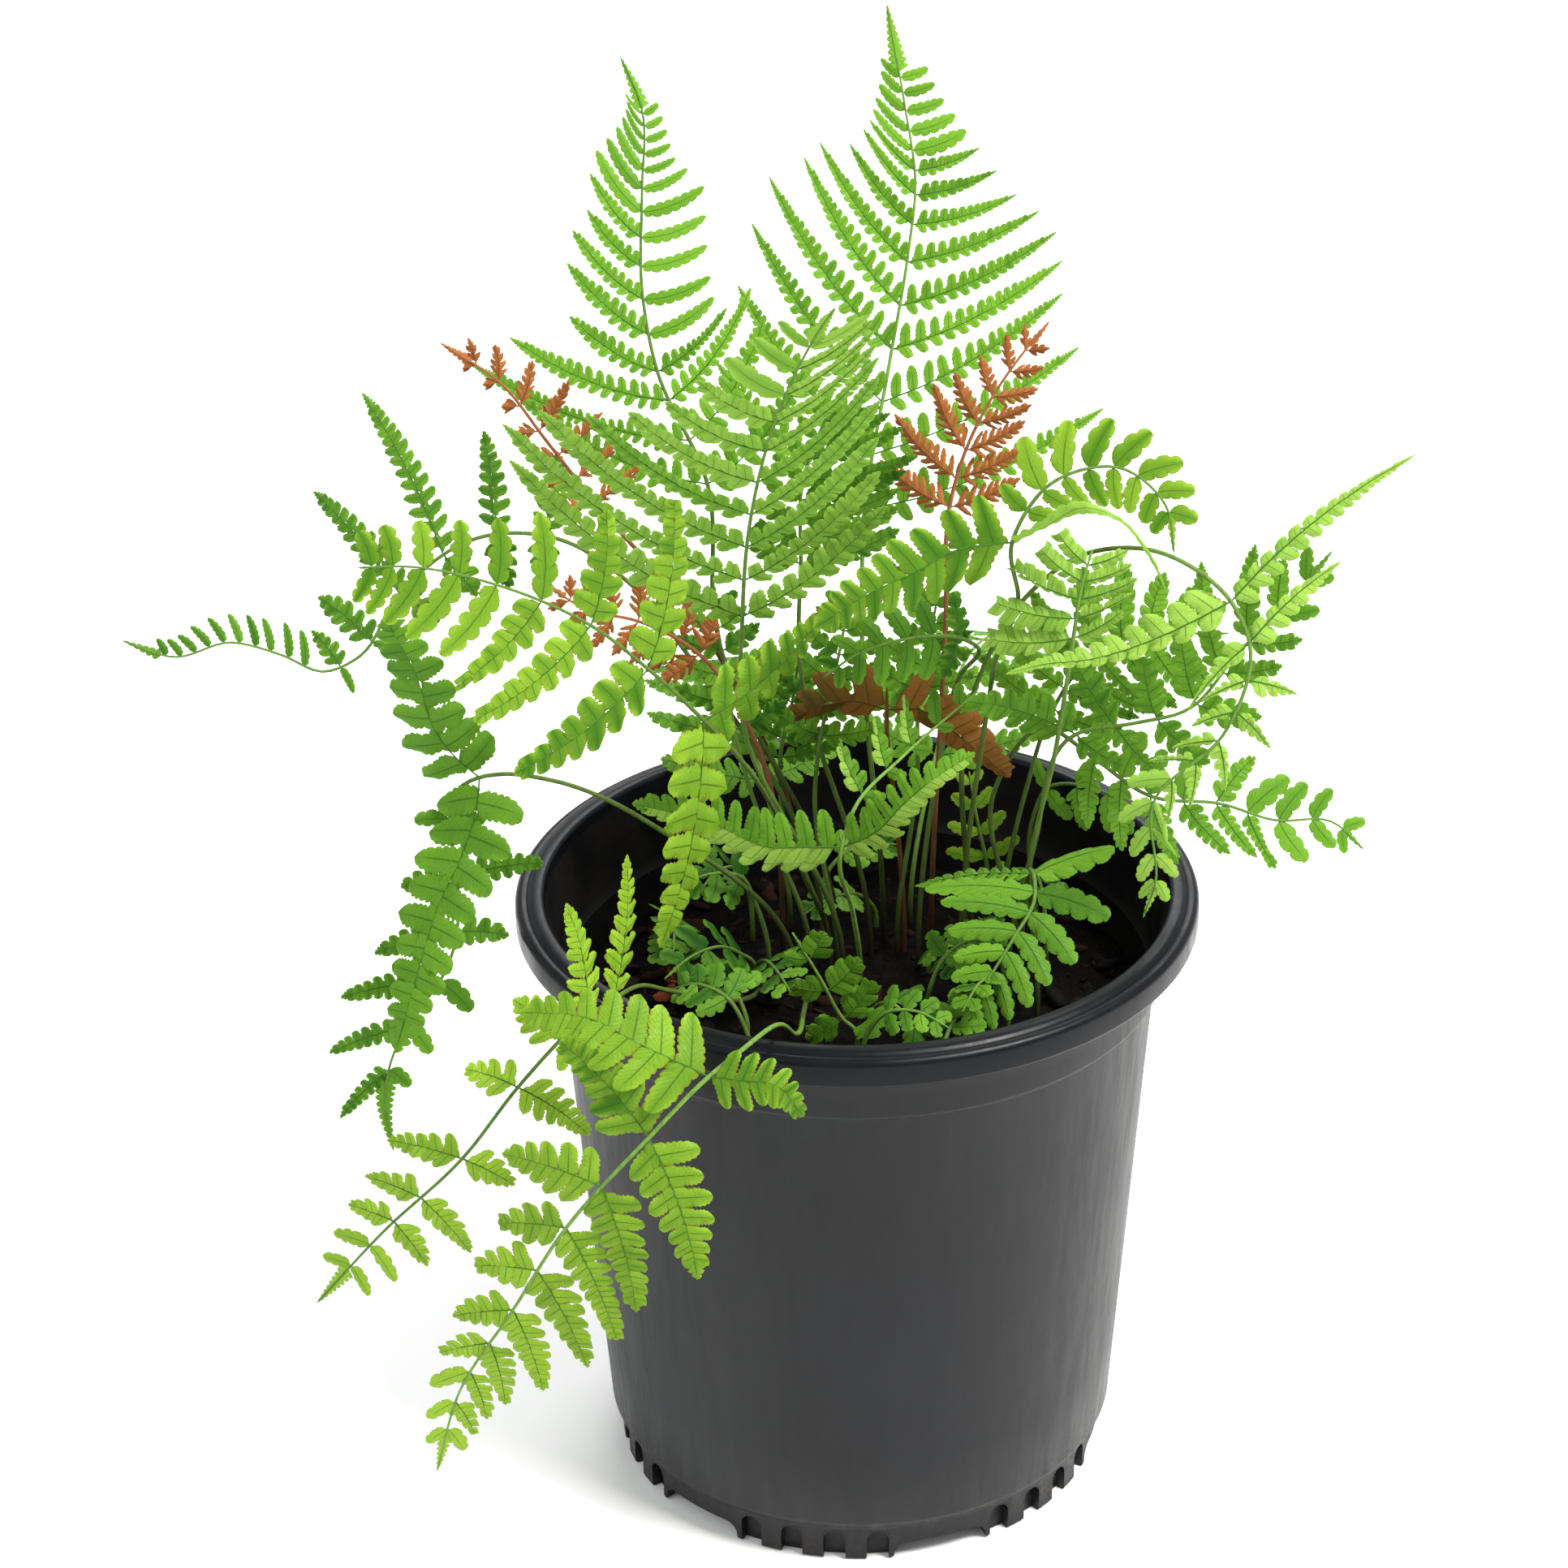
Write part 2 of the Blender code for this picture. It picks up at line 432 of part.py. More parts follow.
        blade_from=1, faces=((0, -0.95, 0.3), (0, -0.95, 0.3)), places=(0.0, 0.3, 0.6),
        right=((0.0, 12, 65), (0.5, 9, 50), (1.0, 4, 40)),
        left=((0.0, 12, 65), (0.5, 9, 50), (1.0, 4, 40)),
        reach=((0.0, 4), (1.0, 3)),
    ),
)


def smooth_line(points, steps):
    """Points along one smooth curve through the given ones."""
    points = [Vector(p) for p in points]
    gaps = [(b - a).length for a, b in zip(points, points[1:])]
    slopes = [(b - a) / gap for a, b, gap in zip(points, points[1:], gaps)]
    headings = [slopes[0]]
    for i in range(1, len(slopes)):
        share = gaps[i - 1] / (gaps[i - 1] + gaps[i])
        headings.append(slopes[i - 1].lerp(slopes[i], share))
    headings.append(slopes[-1])
    line = []
    for i, gap in enumerate(gaps):
        out = points[i] + headings[i] * gap / 3
        back = points[i + 1] - headings[i + 1] * gap / 3
        line += interpolate_bezier(points[i], out, back, points[i + 1], steps + 1)[:-1]
    return line + [points[-1]]


class Path:
    """A line walked by its length."""

    def __init__(self, points):
        self.points = [Vector(p) for p in points]
        self.reach = [0.0]
        for a, b in zip(self.points, self.points[1:]):
            self.reach.append(self.reach[-1] + (b - a).length)
        self.length = self.reach[-1]

    def at(self, distance):
        distance = min(max(distance, 0.0), self.length)
        i = min(max(bisect.bisect_right(self.reach, distance) - 1, 0), len(self.points) - 2)
        span = self.reach[i + 1] - self.reach[i]
        return self.points[i].lerp(self.points[i + 1], (distance - self.reach[i]) / span)

    def heading(self, distance, reach=1.5):
        return (self.at(distance + reach) - self.at(distance - reach)).normalized()


def squared_to(normal, heading):
    """The part of normal at right angles to heading."""
    return (normal - heading * normal.dot(heading)).normalized()


def frond_path(frond):
    """The line of stem and rachis, from its rooted foot to its tip."""
    foot = Vector(frond.route[0]) - Vector((0, 0, ROOTED))
    collar = Vector(frond.route[0]) + Vector((0, 0, 3))
    return Path([foot] + smooth_line([frond.route[0], collar, *frond.route[1:]], LINE_STEPS))


def blade_start(frond, path):
    """How far along the path the lowest pinnae stand."""
    return path.reach[1 + LINE_STEPS * (frond.blade_from + 1)]


def blade_frame(frond, path, place):
    """Point, heading, face and right-hand side of the rachis at a place from 0 to 1."""
    start = blade_start(frond, path)
    distance = start + place * (path.length - start)
    heading = path.heading(distance, 4.0)
    spread = min(max(place, 0.0), 1.0) * (len(frond.faces) - 1)
    i = min(int(spread), max(len(frond.faces) - 2, 0))
    a = Vector(frond.faces[i]).normalized()
    b = Vector(frond.faces[min(i + 1, len(frond.faces) - 1)]).normalized()
    face = squared_to(a.lerp(b, spread - i), heading)
    return path.at(distance), heading, face, heading.cross(face)


def along_table(table, place):
    """Values of a table of rows (place, ...) read between its rows."""
    if place <= table[0][0]:
        return list(table[0][1:])
    for a, b in zip(table, table[1:]):
        if place <= b[0]:
            share = (place - a[0]) / (b[0] - a[0])
            return [x + (y - x) * share for x, y in zip(a[1:], b[1:])]
    return list(table[-1][1:])


def stations(frond, blade):
    """Places of the pairs of pinnae, closer together near the tip."""
    if frond.places:
        return list(frond.places)
    even = [1 - (1 - j / frond.pairs) ** frond.ease for j in range(frond.pairs)]
    kept = even[:1]
    for place in even[1:]:
        if (place - kept[-1]) * blade > LEAST_SPACING:
            kept.append(place)
    return kept


def pinna_line(frond, path, place, hand, number):
    """The rib of one pinna: its points from the rachis to its tip, its face and the length of
    its longest leaflets."""
    root, heading, face, right = blade_frame(frond, path, place)
    for side, at_number, reach, route in frond.limbs:
        if side == hand and at_number == number:
            return smooth_line([root, *route], 4), face, reach
    reach = along_table(frond.reach, place)[0]
    table = frond.right if hand > 0 else frond.left
    length, angle, lift = along_table([(*row, 0.0)[:4] for row in table], place)
    if length <= 0:
        return None, face, reach
    rise = math.radians(lift)

    def aim(degrees):
        turn = math.radians(degrees)
        out = right * (hand * math.cos(rise)) + face * math.sin(rise)
        return heading * math.cos(turn) + out * math.sin(turn)

    tip = root + aim(angle) * length
    middle = root + aim(angle + FORWARD_BEND) * (length * 0.5) + face * (frond.droop * length)
    line = [root.lerp(middle, t).lerp(middle.lerp(tip, t), t) for t in (0, 0.2, 0.4, 0.6, 0.8, 1)]
    turned_face = face * math.cos(rise) - right * (hand * math.sin(rise))
    return line, squared_to(turned_face, aim(angle)), reach


class Sheet:
    """Triangles doubled into a thin closed solid. Ridge points stand off both faces by their
    half thickness, and edge points are shared, so that both faces are split alike."""

    def __init__(self):
        self.verts = []
        self.faces = []
        self.under = {}

    def edge(self, point):
        self.verts.append(Vector(point))
        return len(self.verts) - 1

    def ridge(self, point, normal, half):
        self.verts += [point + normal * half, point - normal * half]
        self.under[len(self.verts) - 2] = len(self.verts) - 1
        return len(self.verts) - 2

    def triangle(self, a, b, c, turn):
        if len({a, b, c}) < 3:
            return
        if turn < 0:
            b, c = c, b
        self.faces.append((a, b, c))
        self.faces.append(tuple(self.under.get(v, v) for v in (a, c, b)))

    def strip(self, ridges, edges, turn):
        """Fill between a ridge line and an edge line, rows of (share of the way, point number).
        turn is 1 where the edge line is on the right hand."""
        i = j = 0
        while i < len(ridges) - 1 or j < len(edges) - 1:
            next_ridge = ridges[i + 1][0] if i < len(ridges) - 1 else math.inf
            next_edge = edges[j + 1][0] if j < len(edges) - 1 else math.inf
            if next_edge <= next_ridge:
                self.triangle(ridges[i][1], edges[j][1], edges[j + 1][1], turn)
                j += 1
            else:
                self.triangle(ridges[i][1], edges[j][1], ridges[i + 1][1], turn)
                i += 1


def nearest_on(point, line):
    """The point of a line of points that is nearest to a point."""
    best = line[0]
    for a, b in zip(line, line[1:]):
        foot, share = intersect_point_line(point, a, b)
        foot = a if share < 0 else b if share > 1 else foot
        if (point - foot).length < (point - best).length:
            best = foot
    return best


def leaflet_reach(point, share, length, reach, neighbours):
    """How far a leaflet reaches from a point of the rib, at a share of the pinna's length."""
    reach = min(reach * (1 - 0.7 * share**2.2), 0.34 * length)
    for line in neighbours:
        reach = min(reach, 0.43 * (point - nearest_on(point, line)).length)
    return reach


def add_pinna(sheet, line, face, root, roots, reach, neighbours, rachis):
    """One pinna: a rib with leaflets cut nearly to it. roots: its edge points at the rachis,
    by the pinna's own hand. rachis: its line here, the way out of it, its half width and the
    least slope out of it that clears the pinna's base."""
    path = Path(line)
    rachis_line, outward, rachis_half, slope = rachis
    lobes = max(1, min(MOST_LOBES, round(path.length / LOBE_LENGTH)))
    cells = lobes + 0.25
    notches = [(i + 1) / cells for i in range(lobes - 1)]
    ridges = [(0.0, root)]
    for share in notches:
        point = path.at(share * path.length)
        aim = path.heading(share * path.length)
        ridges.append((share, sheet.ridge(point, squared_to(face, aim), RIB_HALF * (1 - 0.3 * share))))
    tip = sheet.edge(path.points[-1])
    ridges.append((1.0, tip))
    between = [path.at(share * path.length) for share in notches]
    chord = Path([path.points[0], *between, path.points[-1]])
    for hand in (1, -1):

        def clear_of_rachis(share, width, hand=hand):
            """A point this far from the rib, or nearer where the rachis is close, or None."""
            while width > 0.4 * NOTCH:
                point = beside(chord, share, face, hand, width)
                away = point - nearest_on(point, rachis_line)
                aside = away.dot(outward) > rachis_half + CLEAR or away.length > FAR
                steep = (point - line[0]).normalized().dot(outward) > slope or share > 1.01 / cells
                if aside and steep:
                    return point
                width *= 0.8
            return None

        edges = [(0.0, roots[hand])]
        for i in range(lobes):
            for spot, part in ((0.34, 0.92), (0.8, 1.0)):
                share = (i + spot) / cells
                point = path.at(share * path.length)
                width = leaflet_reach(point, share, path.length, reach * part, neighbours)
                edges.append((share, clear_of_rachis(share, width)))
            if i < lobes - 1:
                edges.append((notches[i], clear_of_rachis(notches[i], min(NOTCH, 0.5 * width))))
        edges = [edges[0]] + [(share, sheet.edge(point)) for share, point in edges[1:] if point]
        edges.append((1.0, tip))
        sheet.strip(ridges, edges, hand)


def beside(chord, share, face, hand, reach):
    """A point beside a rib, a little below it."""
    distance = share * chord.length
    aim = chord.heading(distance)
    normal = squared_to(face, aim)
    return chord.at(distance) + aim.cross(normal) * (hand * reach) - normal * (0.12 * reach)


def stem_stations(path, first_place):
    """Distances along the bare stem, closer together where it bends."""
    distances = [4.0, ROOTED + 2.0]
    walked = ROOTED + 2.0
    while walked < first_place - 6.0:
        walked += 2.0
        turned = path.heading(walked, 3.0).angle(path.heading(distances[-1], 3.0))
        if turned > STEM_TURN or walked - distances[-1] > STEM_STEP:
            distances.append(walked)
    return distances


def add_stem(sheet, frond, path, first_place):
    """The bare stem, pointed where it is rooted. Returns its last ridge and edge points."""
    sections = []
    face = blade_frame(frond, path, 0.0)[2]
    walked = first_place
    for distance in reversed(stem_stations(path, first_place)):
        while walked > distance:
            walked = max(walked - 2.0, distance)
            face = squared_to(face, path.heading(walked, 3.0))
        sections.append((path.at(distance), path.heading(distance, 3.0), face))
    foot = sheet.edge(path.at(0))
    last = (foot, {1: foot, -1: foot})
    for point, heading, face in reversed(sections):
        right = heading.cross(face)
        ridge = sheet.ridge(point, face, frond.stem)
        edges = {hand: sheet.edge(point + right * (hand * frond.stem)) for hand in (1, -1)}
        for hand in (1, -1):
            sheet.strip([(0, last[0]), (1, ridge)], [(0, last[1][hand]), (1, edges[hand])], hand)
        last = (ridge, edges)
    return last


def frond_sheet(frond):
    """A whole frond: stem, rachis, pinnae and tip."""
    path = frond_path(frond)
    sheet = Sheet()
    start = blade_start(frond, path)
    blade = path.length - start
    ridge, edges = add_stem(sheet, frond, path, start)
    places = stations(frond, blade)
    lines = {hand: [pinna_line(frond, path, p, hand, i) for i, p in enumerate(places)] for hand in (1, -1)}
    for j, place in enumerate(places):
        point, heading, face, right = blade_frame(frond, path, place)
        after = places[j + 1] if j + 1 < len(places) else 1.0
        before = places[j - 1] if j else place - (after - place)
        spacing = (after - before) * blade / 2
        half = frond.stem + (RACHIS_HALF - frond.stem) * min(1.0, 2 * place)
        half *= 1 - 0.35 * place
        here = sheet.ridge(point, face, half)
        root_half = min(2.2, 0.33 * spacing)
        bend = blade_frame(frond, path, before)[1].angle(blade_frame(frond, path, after)[1])
        if bend > SHARP_BEND:
            root_half *= 0.5
        rachis_line = [blade_frame(frond, path, p)[0] for p in (before, place, after)]
        next_edges = {}
        for hand in (1, -1):
            out = point + right * (hand * half)
            low, high = sheet.edge(out - heading * root_half), sheet.edge(out + heading * root_half)
            sheet.strip([(0, ridge), (1, here)], [(0, edges[hand]), (1, low)], hand)
            line, line_face, reach = lines[hand][j]
            if line is None:
                sheet.triangle(here, low, high, hand)
            else:
                near = [lines[hand][i][0] for i in (j - 1, j + 1) if 0 <= i < len(places)]
                near = [other for other in near if other is not None]
                roots = {hand: low, -hand: high}
                slope = 1.15 * half / math.hypot(half, root_half)
                rachis = (rachis_line, right * hand, half, slope)
                add_pinna(sheet, line, line_face, here, roots, reach, near, rachis)
            next_edges[hand] = high
        ridge, edges = here, next_edges
    point, heading, face, right = blade_frame(frond, path, 1.0)
    tip = sheet.edge(point)
    middle = (places[-1] + 1.0) / 2
    point, heading, face, right = blade_frame(frond, path, middle)
    width = 0.8 * RACHIS_HALF
    for hand in (1, -1):
        side = sheet.edge(point + right * (hand * width))
        sheet.strip([(0, ridge), (1, tip)], [(0, edges[hand]), (0.5, side), (1, tip)], hand)
    return sheet


def add_material(name):
    colour, roughness = COLOURS[name]
    material = bpy.data.materials.get(name) or bpy.data.materials.new(name)
    material.use_nodes = True
    shader = material.node_tree.nodes["Principled BSDF"]
    shader.inputs["Base Color"].default_value = (*colour, 1.0)
    shader.inputs["Roughness"].default_value = roughness
    shader.inputs["Metallic"].default_value = 0.0
    return material


def add_node(name, mesh, material):
    """An object of the part, scaled from millimetres."""
    mesh.transform(Matrix.Scale(MM, 4))
    obj = bpy.data.objects.new(name, mesh)
    bpy.context.collection.objects.link(obj)
    obj.data.materials.append(add_material(material))
    return obj


def add_cutters(name, meshes):
    """A collection of hidden cutters for a Boolean."""
    group = bpy.data.collections.new(name)
    bpy.context.scene.collection.children.link(group)
    for i, mesh in enumerate(meshes):
        mesh.transform(Matrix.Scale(MM, 4))
        obj = bpy.data.objects.new(f"{name}_{i}", mesh)
        obj.hide_render = True
        obj.display_type = "WIRE"
        group.objects.link(obj)
    return group


def cut(obj, group):
    change = obj.modifiers.new(group.name, "BOOLEAN")
    change.operation = "DIFFERENCE"
    change.operand_type = "COLLECTION"
    change.collection = group


def turned(name, profile, sides):
    """A solid of revolution. profile: (radius, height) from the top of the axis to its foot."""
    bm = bmesh.new()
    line = [bm.verts.new((radius, 0, height)) for radius, height in profile]
    for a, b in zip(line, line[1:]):
        bm.edges.new((a, b))
    turn = dict(axis=(0, 0, 1), cent=(0, 0, 0), angle=2 * math.pi, steps=sides, use_merge=True)
    bmesh.ops.spin(bm, geom=bm.verts[:] + bm.edges[:], **turn)
    bmesh.ops.remove_doubles(bm, verts=bm.verts[:], dist=1e-3)
    bmesh.ops.recalc_face_normals(bm, faces=bm.faces[:])
    mesh = bpy.data.meshes.new(name)
    bm.to_mesh(mesh)
    bm.free()
    return mesh


def prism(name, outline, depth, place):
    """A flat outline in XZ carried depth along Y, then placed."""
    bm = bmesh.new()
    face = bm.faces.new([bm.verts.new((x, 0, z)) for x, z in outline])
    grown = bmesh.ops.extrude_face_region(bm, geom=[face])["geom"]
    moved = [v for v in grown if isinstance(v, bmesh.types.BMVert)]
    bmesh.ops.translate(bm, verts=moved, vec=(0, depth, 0))
    bmesh.ops.recalc_face_normals(bm, faces=bm.faces[:])
    bmesh.ops.transform(bm, matrix=place, verts=bm.verts[:])
    mesh = bpy.data.meshes.new(name)
    bm.to_mesh(mesh)
    bm.free()
    return mesh


def round_cutter(name, radius, sides, low, high, place):
    bm = bmesh.new()
    bmesh.ops.create_cone(
        bm, cap_ends=True, segments=sides, radius1=radius, radius2=radius, depth=high - low
    )
    bmesh.ops.translate(bm, verts=bm.verts[:], vec=(place[0], place[1], (low + high) / 2))
    mesh = bpy.data.meshes.new(name)
    bm.to_mesh(mesh)
    bm.free()
    return mesh


def inner_wall(height):
    """Inside radius of the pot at a height between its floor and its band."""
    share = (height - BODY_LOW) / (BAND_LOW - BODY_LOW)
    return BODY_LOW_RADIUS + (BODY_TOP_RADIUS - BODY_LOW_RADIUS) * share - WALL


CHANNEL_TOP = CHANNEL_HEIGHT + FLOOR


def pot_profile():
    top = POT_HEIGHT
    inside = [
        (0, FLOOR),
        (FLOOR_RADIUS, FLOOR),
        (FLOOR_RADIUS + 3, CHANNEL_TOP),
        (FOOT_RADIUS - 2, CHANNEL_TOP),
        (inner_wall(BODY_LOW + 1), BODY_LOW + 1),
        (inner_wall(BAND_LOW), BAND_LOW),
        (BAND_RADIUS - WALL, top - 11),
        (OPENING_RADIUS, top - 2),
    ]
    rim = [
        (OPENING_RADIUS + 1.6, top),
        (OPENING_RADIUS + 4.2, top - 0.3),
        (RIM_RADIUS - 1.0, top - 1.9),
        (RIM_RADIUS, top - 3.6),
        (RIM_RADIUS, top - 8.0),
        (RIM_RADIUS - 1.5, top - 9.5),
        (BAND_RADIUS + 0.6, top - 10.8),
    ]
    outside = [
        (BAND_RADIUS - 0.8, BAND_LOW + 2.6),
        (BODY_TOP_RADIUS, BAND_LOW),
        (BODY_LOW_RADIUS, BODY_LOW + 1),
        (FOOT_RADIUS, BODY_LOW - 2.4),
        (FOOT_RADIUS, 0),
        (CHANNEL_OUT, 0),
        (CHANNEL_OUT, CHANNEL_HEIGHT),
        (FLOOR_RADIUS + 3, CHANNEL_HEIGHT),
        (FLOOR_RADIUS + 1, 0),
        (0, 0),
    ]
    return inside + rim + outside


def facing(degrees):
    """Turns the -Y side to a compass angle, counted from the photographed side towards +X."""
    return Matrix.Rotation(math.radians(degrees), 4, "Z")


def add_pot():
    pot = add_node("pot", turned("pot", pot_profile(), POT_SIDES), "pot_black")
    half, top = FLUTE_WIDTH / 2, FLUTE_HEIGHT
    flute = [(-half, -2), (half, -2), (half, top - 2.6), (half / 2, top)]
    flute += [(-half / 2, top), (-half, top - 2.6)]
    arch_half = FOOT_RADIUS * math.sin(math.radians(ARCH_WIDTH / 2))
    arch = [(-arch_half, -2), (arch_half, -2), (arch_half - 4, ARCH_HEIGHT), (4 - arch_half, ARCH_HEIGHT)]
    cutters = []
    for group in range(FOOT_GROUPS):
        centre = FIRST_GROUP + 360 / FOOT_GROUPS * group
        for i in range(FLUTES):
            turn = facing(centre + FLUTE_STEP * (i - (FLUTES - 1) / 2))
            place = turn @ Matrix.Translation((0, -(FOOT_RADIUS + 8), 0))
            cutters.append(prism("flute", flute, 8 + FLUTE_DEPTH, place))
        between = facing(centre + 180 / FOOT_GROUPS)
        place = between @ Matrix.Translation((0, -(FOOT_RADIUS + 8), 0))
        cutters.append(prism("arch", arch, 8 + FOOT_RADIUS - CHANNEL_OUT + 2, place))
        hole = between @ Vector((0, -(FLOOR_RADIUS + CHANNEL_OUT + 2) / 2, 0))
        cutters.append(round_cutter("drain", DRAIN_RADIUS, 8, CHANNEL_HEIGHT - 2, CHANNEL_TOP + 2, hole))
    cut(pot, add_cutters("pot_cutters", cutters))
    pot.data.shade_smooth()
    pot.data.set_sharp_from_angle(angle=math.radians(30))
    return pot


def add_mix(holes):
    draw = random.Random(SEED)
    wall = inner_wall(SOIL_TOP) - SOIL_GAP
    profile = [(0, SOIL_TOP), (22, SOIL_TOP), (42, SOIL_TOP), (62, SOIL_TOP), (wall, SOIL_TOP)]
    profile += [
        (inner_wall(BODY_LOW + 1) - SOIL_GAP, BODY_LOW + 1.4),
        (FOOT_RADIUS - 2 - SOIL_GAP, CHANNEL_TOP + 0.4),
        (FLOOR_RADIUS + 3 - SOIL_GAP, CHANNEL_TOP + 0.4),
        (FLOOR_RADIUS - SOIL_GAP, FLOOR + 0.3),
        (0, FLOOR + 0.3),
    ]
    mesh = turned("potting_mix", profile, SOIL_SIDES)
    for vert in mesh.vertices:
        if vert.co.z > SOIL_TOP - 0.1:
            vert.co.z -= draw.uniform(0.0, 3.0)
    mix = add_node("potting_mix", mesh, "mix_dark")
    cutters = [
        round_cutter("hole", HOLE_RADIUS, 6, SOIL_TOP - HOLE_DEPTH, SOIL_TOP + 5, place) for place in holes
    ]
    cut(mix, add_cutters("stem_holes", cutters))
    return mix


def add_frond(frond):
    sheet = frond_sheet(frond)
    mesh = bpy.data.meshes.new(frond.name)
    mesh.from_pydata([tuple(v) for v in sheet.verts], [], sheet.faces)
    return add_node(frond.name, mesh, frond.colour)


def build():
    for obj in list(bpy.data.objects):
        bpy.data.objects.remove(obj, do_unlink=True)
    add_pot()
    add_mix([frond.route[0] for frond in FRONDS])
    for frond in FRONDS:
        add_frond(frond)


build()
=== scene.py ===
"""Looks of the potted autumn fern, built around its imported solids.

Lengths are millimetres and angles degrees, apart from the studio's. The table of the fronds
repeats the one in the part's source, but for the pinnae of frond_tall_left and frond_far_left and
a limb of frond_hanging_front. Each frond is grown again on the same ribs with its real number of
leaflets, and the pot, the mix and the litter get their fine shapes. Everything rides on the one
body of the part.
"""

import bisect
import json
import math
import random
from dataclasses import dataclass

import bmesh
import bpy
import numpy as np
from mathutils import Matrix, Vector, noise
from mathutils.geometry import interpolate_bezier, intersect_point_line

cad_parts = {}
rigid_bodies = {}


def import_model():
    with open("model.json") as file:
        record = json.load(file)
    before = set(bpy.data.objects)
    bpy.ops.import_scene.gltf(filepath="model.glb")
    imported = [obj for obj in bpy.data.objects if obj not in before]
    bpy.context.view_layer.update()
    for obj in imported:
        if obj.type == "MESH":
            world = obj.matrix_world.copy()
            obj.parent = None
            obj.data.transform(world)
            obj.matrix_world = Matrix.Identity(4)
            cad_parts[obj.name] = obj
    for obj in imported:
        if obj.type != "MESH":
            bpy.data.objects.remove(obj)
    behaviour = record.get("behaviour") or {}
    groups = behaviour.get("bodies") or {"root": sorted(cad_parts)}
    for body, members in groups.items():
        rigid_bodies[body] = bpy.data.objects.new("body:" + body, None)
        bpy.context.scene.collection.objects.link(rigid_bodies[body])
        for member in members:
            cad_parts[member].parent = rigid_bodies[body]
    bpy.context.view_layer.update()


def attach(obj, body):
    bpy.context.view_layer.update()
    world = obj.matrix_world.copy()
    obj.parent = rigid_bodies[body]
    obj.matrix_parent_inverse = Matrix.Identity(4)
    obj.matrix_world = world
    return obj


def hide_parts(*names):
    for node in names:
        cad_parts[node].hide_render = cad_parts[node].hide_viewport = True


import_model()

MM = 0.001
BODY = "root"
SEED = 7

# Camera, worked out from the pot's rim, band and foot in the photograph
CAMERA_AT = (2.373, -994.810, 735.311)
CAMERA_AHEAD = (-0.020337, 0.887268, -0.460805)
CAMERA_RIGHT = (0.999776, 0.015355, -0.014559)
CAMERA_LENS = 90.40
CAMERA_SENSOR = 36.0
CAMERA_CLIP = (0.05, 50.0)

# Pot, in millimetres
POT_SIDES = 192
POT_HEIGHT = 187.1
RIM_RADIUS = 98.5
OPENING_RADIUS = 90.0
BAND_RADIUS = 89.4
BAND_LOW = 160.0
BODY_TOP_RADIUS = 86.5
BODY_LOW_RADIUS = 76.2
BODY_LOW = 14.0
FOOT_RADIUS = 73.4
WALL = 1.8
FLOOR = 3.0
FLOOR_RADIUS = 55.0
CHANNEL_HEIGHT = 6.5
CHANNEL_TOP = CHANNEL_HEIGHT + FLOOR
CHANNEL_OUT = 66.0
FOOT_GROUPS = 6
FLUTES = 4
FLUTE_STEP = 10.0
FLUTE_WIDTH = 6.5
FLUTE_HEIGHT = 10.0
FLUTE_DEPTH = 3.0
FIRST_GROUP = -11.0
ARCH_WIDTH = 24.0
ARCH_HEIGHT = 5.5
ARCH_CORNER = 4.0
DRAIN_RADIUS = 3.5
PAST = 8.0  # how far a cutter starts outside the foot
SHARP = 32.0  # edges bent more than this stay sharp

# Potting mix
SOIL_TOP = 151.0
SOIL_GAP = 0.5
SOIL_SIDES = 180
SOIL_RINGS = 64
SOIL_SINK = 1.6
EDGE_FROM = 72.0  # the surface falls off outside this radius
EDGE_FALL = 0.16
CLODS = ((0.035, (0, 0, 0), 2.2), (0.16, (9, 4, 2), 1.5), (0.55, (3, 7, 5), 0.55))
CHIPS = 420
CHIP_LEAST = 1.2
CHIP_MORE = 4.6
CHIP_THICKEST = 1.6
CHIP_TURNS = (("X", -0.5, 0.5), ("Y", -0.4, 0.4), ("Z", 0, math.pi))  # axis, from, to
CHIP_EDGE = 4.0

# Sprouts and young fronds, which stand between the part's own
STEM_FOOT = 152.0
SPROUTS = 16
SPROUT_NEAREST = 16.0
SPROUT_BAND = 46.0
SPROUT_TURN = 2.4  # radians from one to the next
SPROUT_STEPS = ((0, 0), (2, 0.6), (8, 1.0), (17, 1.08), (26, 0.9))
SPROUT_REACH = 27.0
SPROUT_EDGE = 76.0
YOUNG_ROUTES = (
    ((-14, 16, 152), (-30, 18, 205), (-35, 18, 227), (-37, 20, 244), (-39, 20, 259),
     (-40, 18, 275)),
    ((-6, 18, 152), (-12, 20, 205), (-10, 20, 224), (-6, 24, 241), (-3, 26, 256), (-1, 26, 271)),
    ((-10, 24, 152), (-22, 25, 200), (-22, 26, 214), (-18, 30, 232), (-16, 32, 246)),
    ((12, 24, 152), (18, 26, 210), (18, 26, 228), (20, 28, 246), (23, 28, 260), (24, 28, 270)),
)
YOUNG_FACE = (0.0, -0.95, 0.3)
YOUNG_ROWS = ((0.0, 18, 70), (0.5, 14, 60), (1.0, 4, 45))
YOUNG_REACH = ((0.0, 4), (1.0, 2))

# Fronds
ROOTED = 8.0
FORWARD_BEND = 8.0
LINE_STEPS = 10
LEAST_SPACING = 4.0
FINE_SPACING = 2.3
STEM_RADIUS = 0.85
BLADE_RADIUS = 0.62
TIP_RADIUS = 0.28
STEM_STEP = 2.5
STEM_SIDES = 9
STEM_END = 0.995
RIB_RADIUS = 0.26
RIB_STEP = 3.0
RIB_SIDES = 5
RIB_END = 0.97
RIB_TURN = 7.0
STRIP_HALF = 2.6

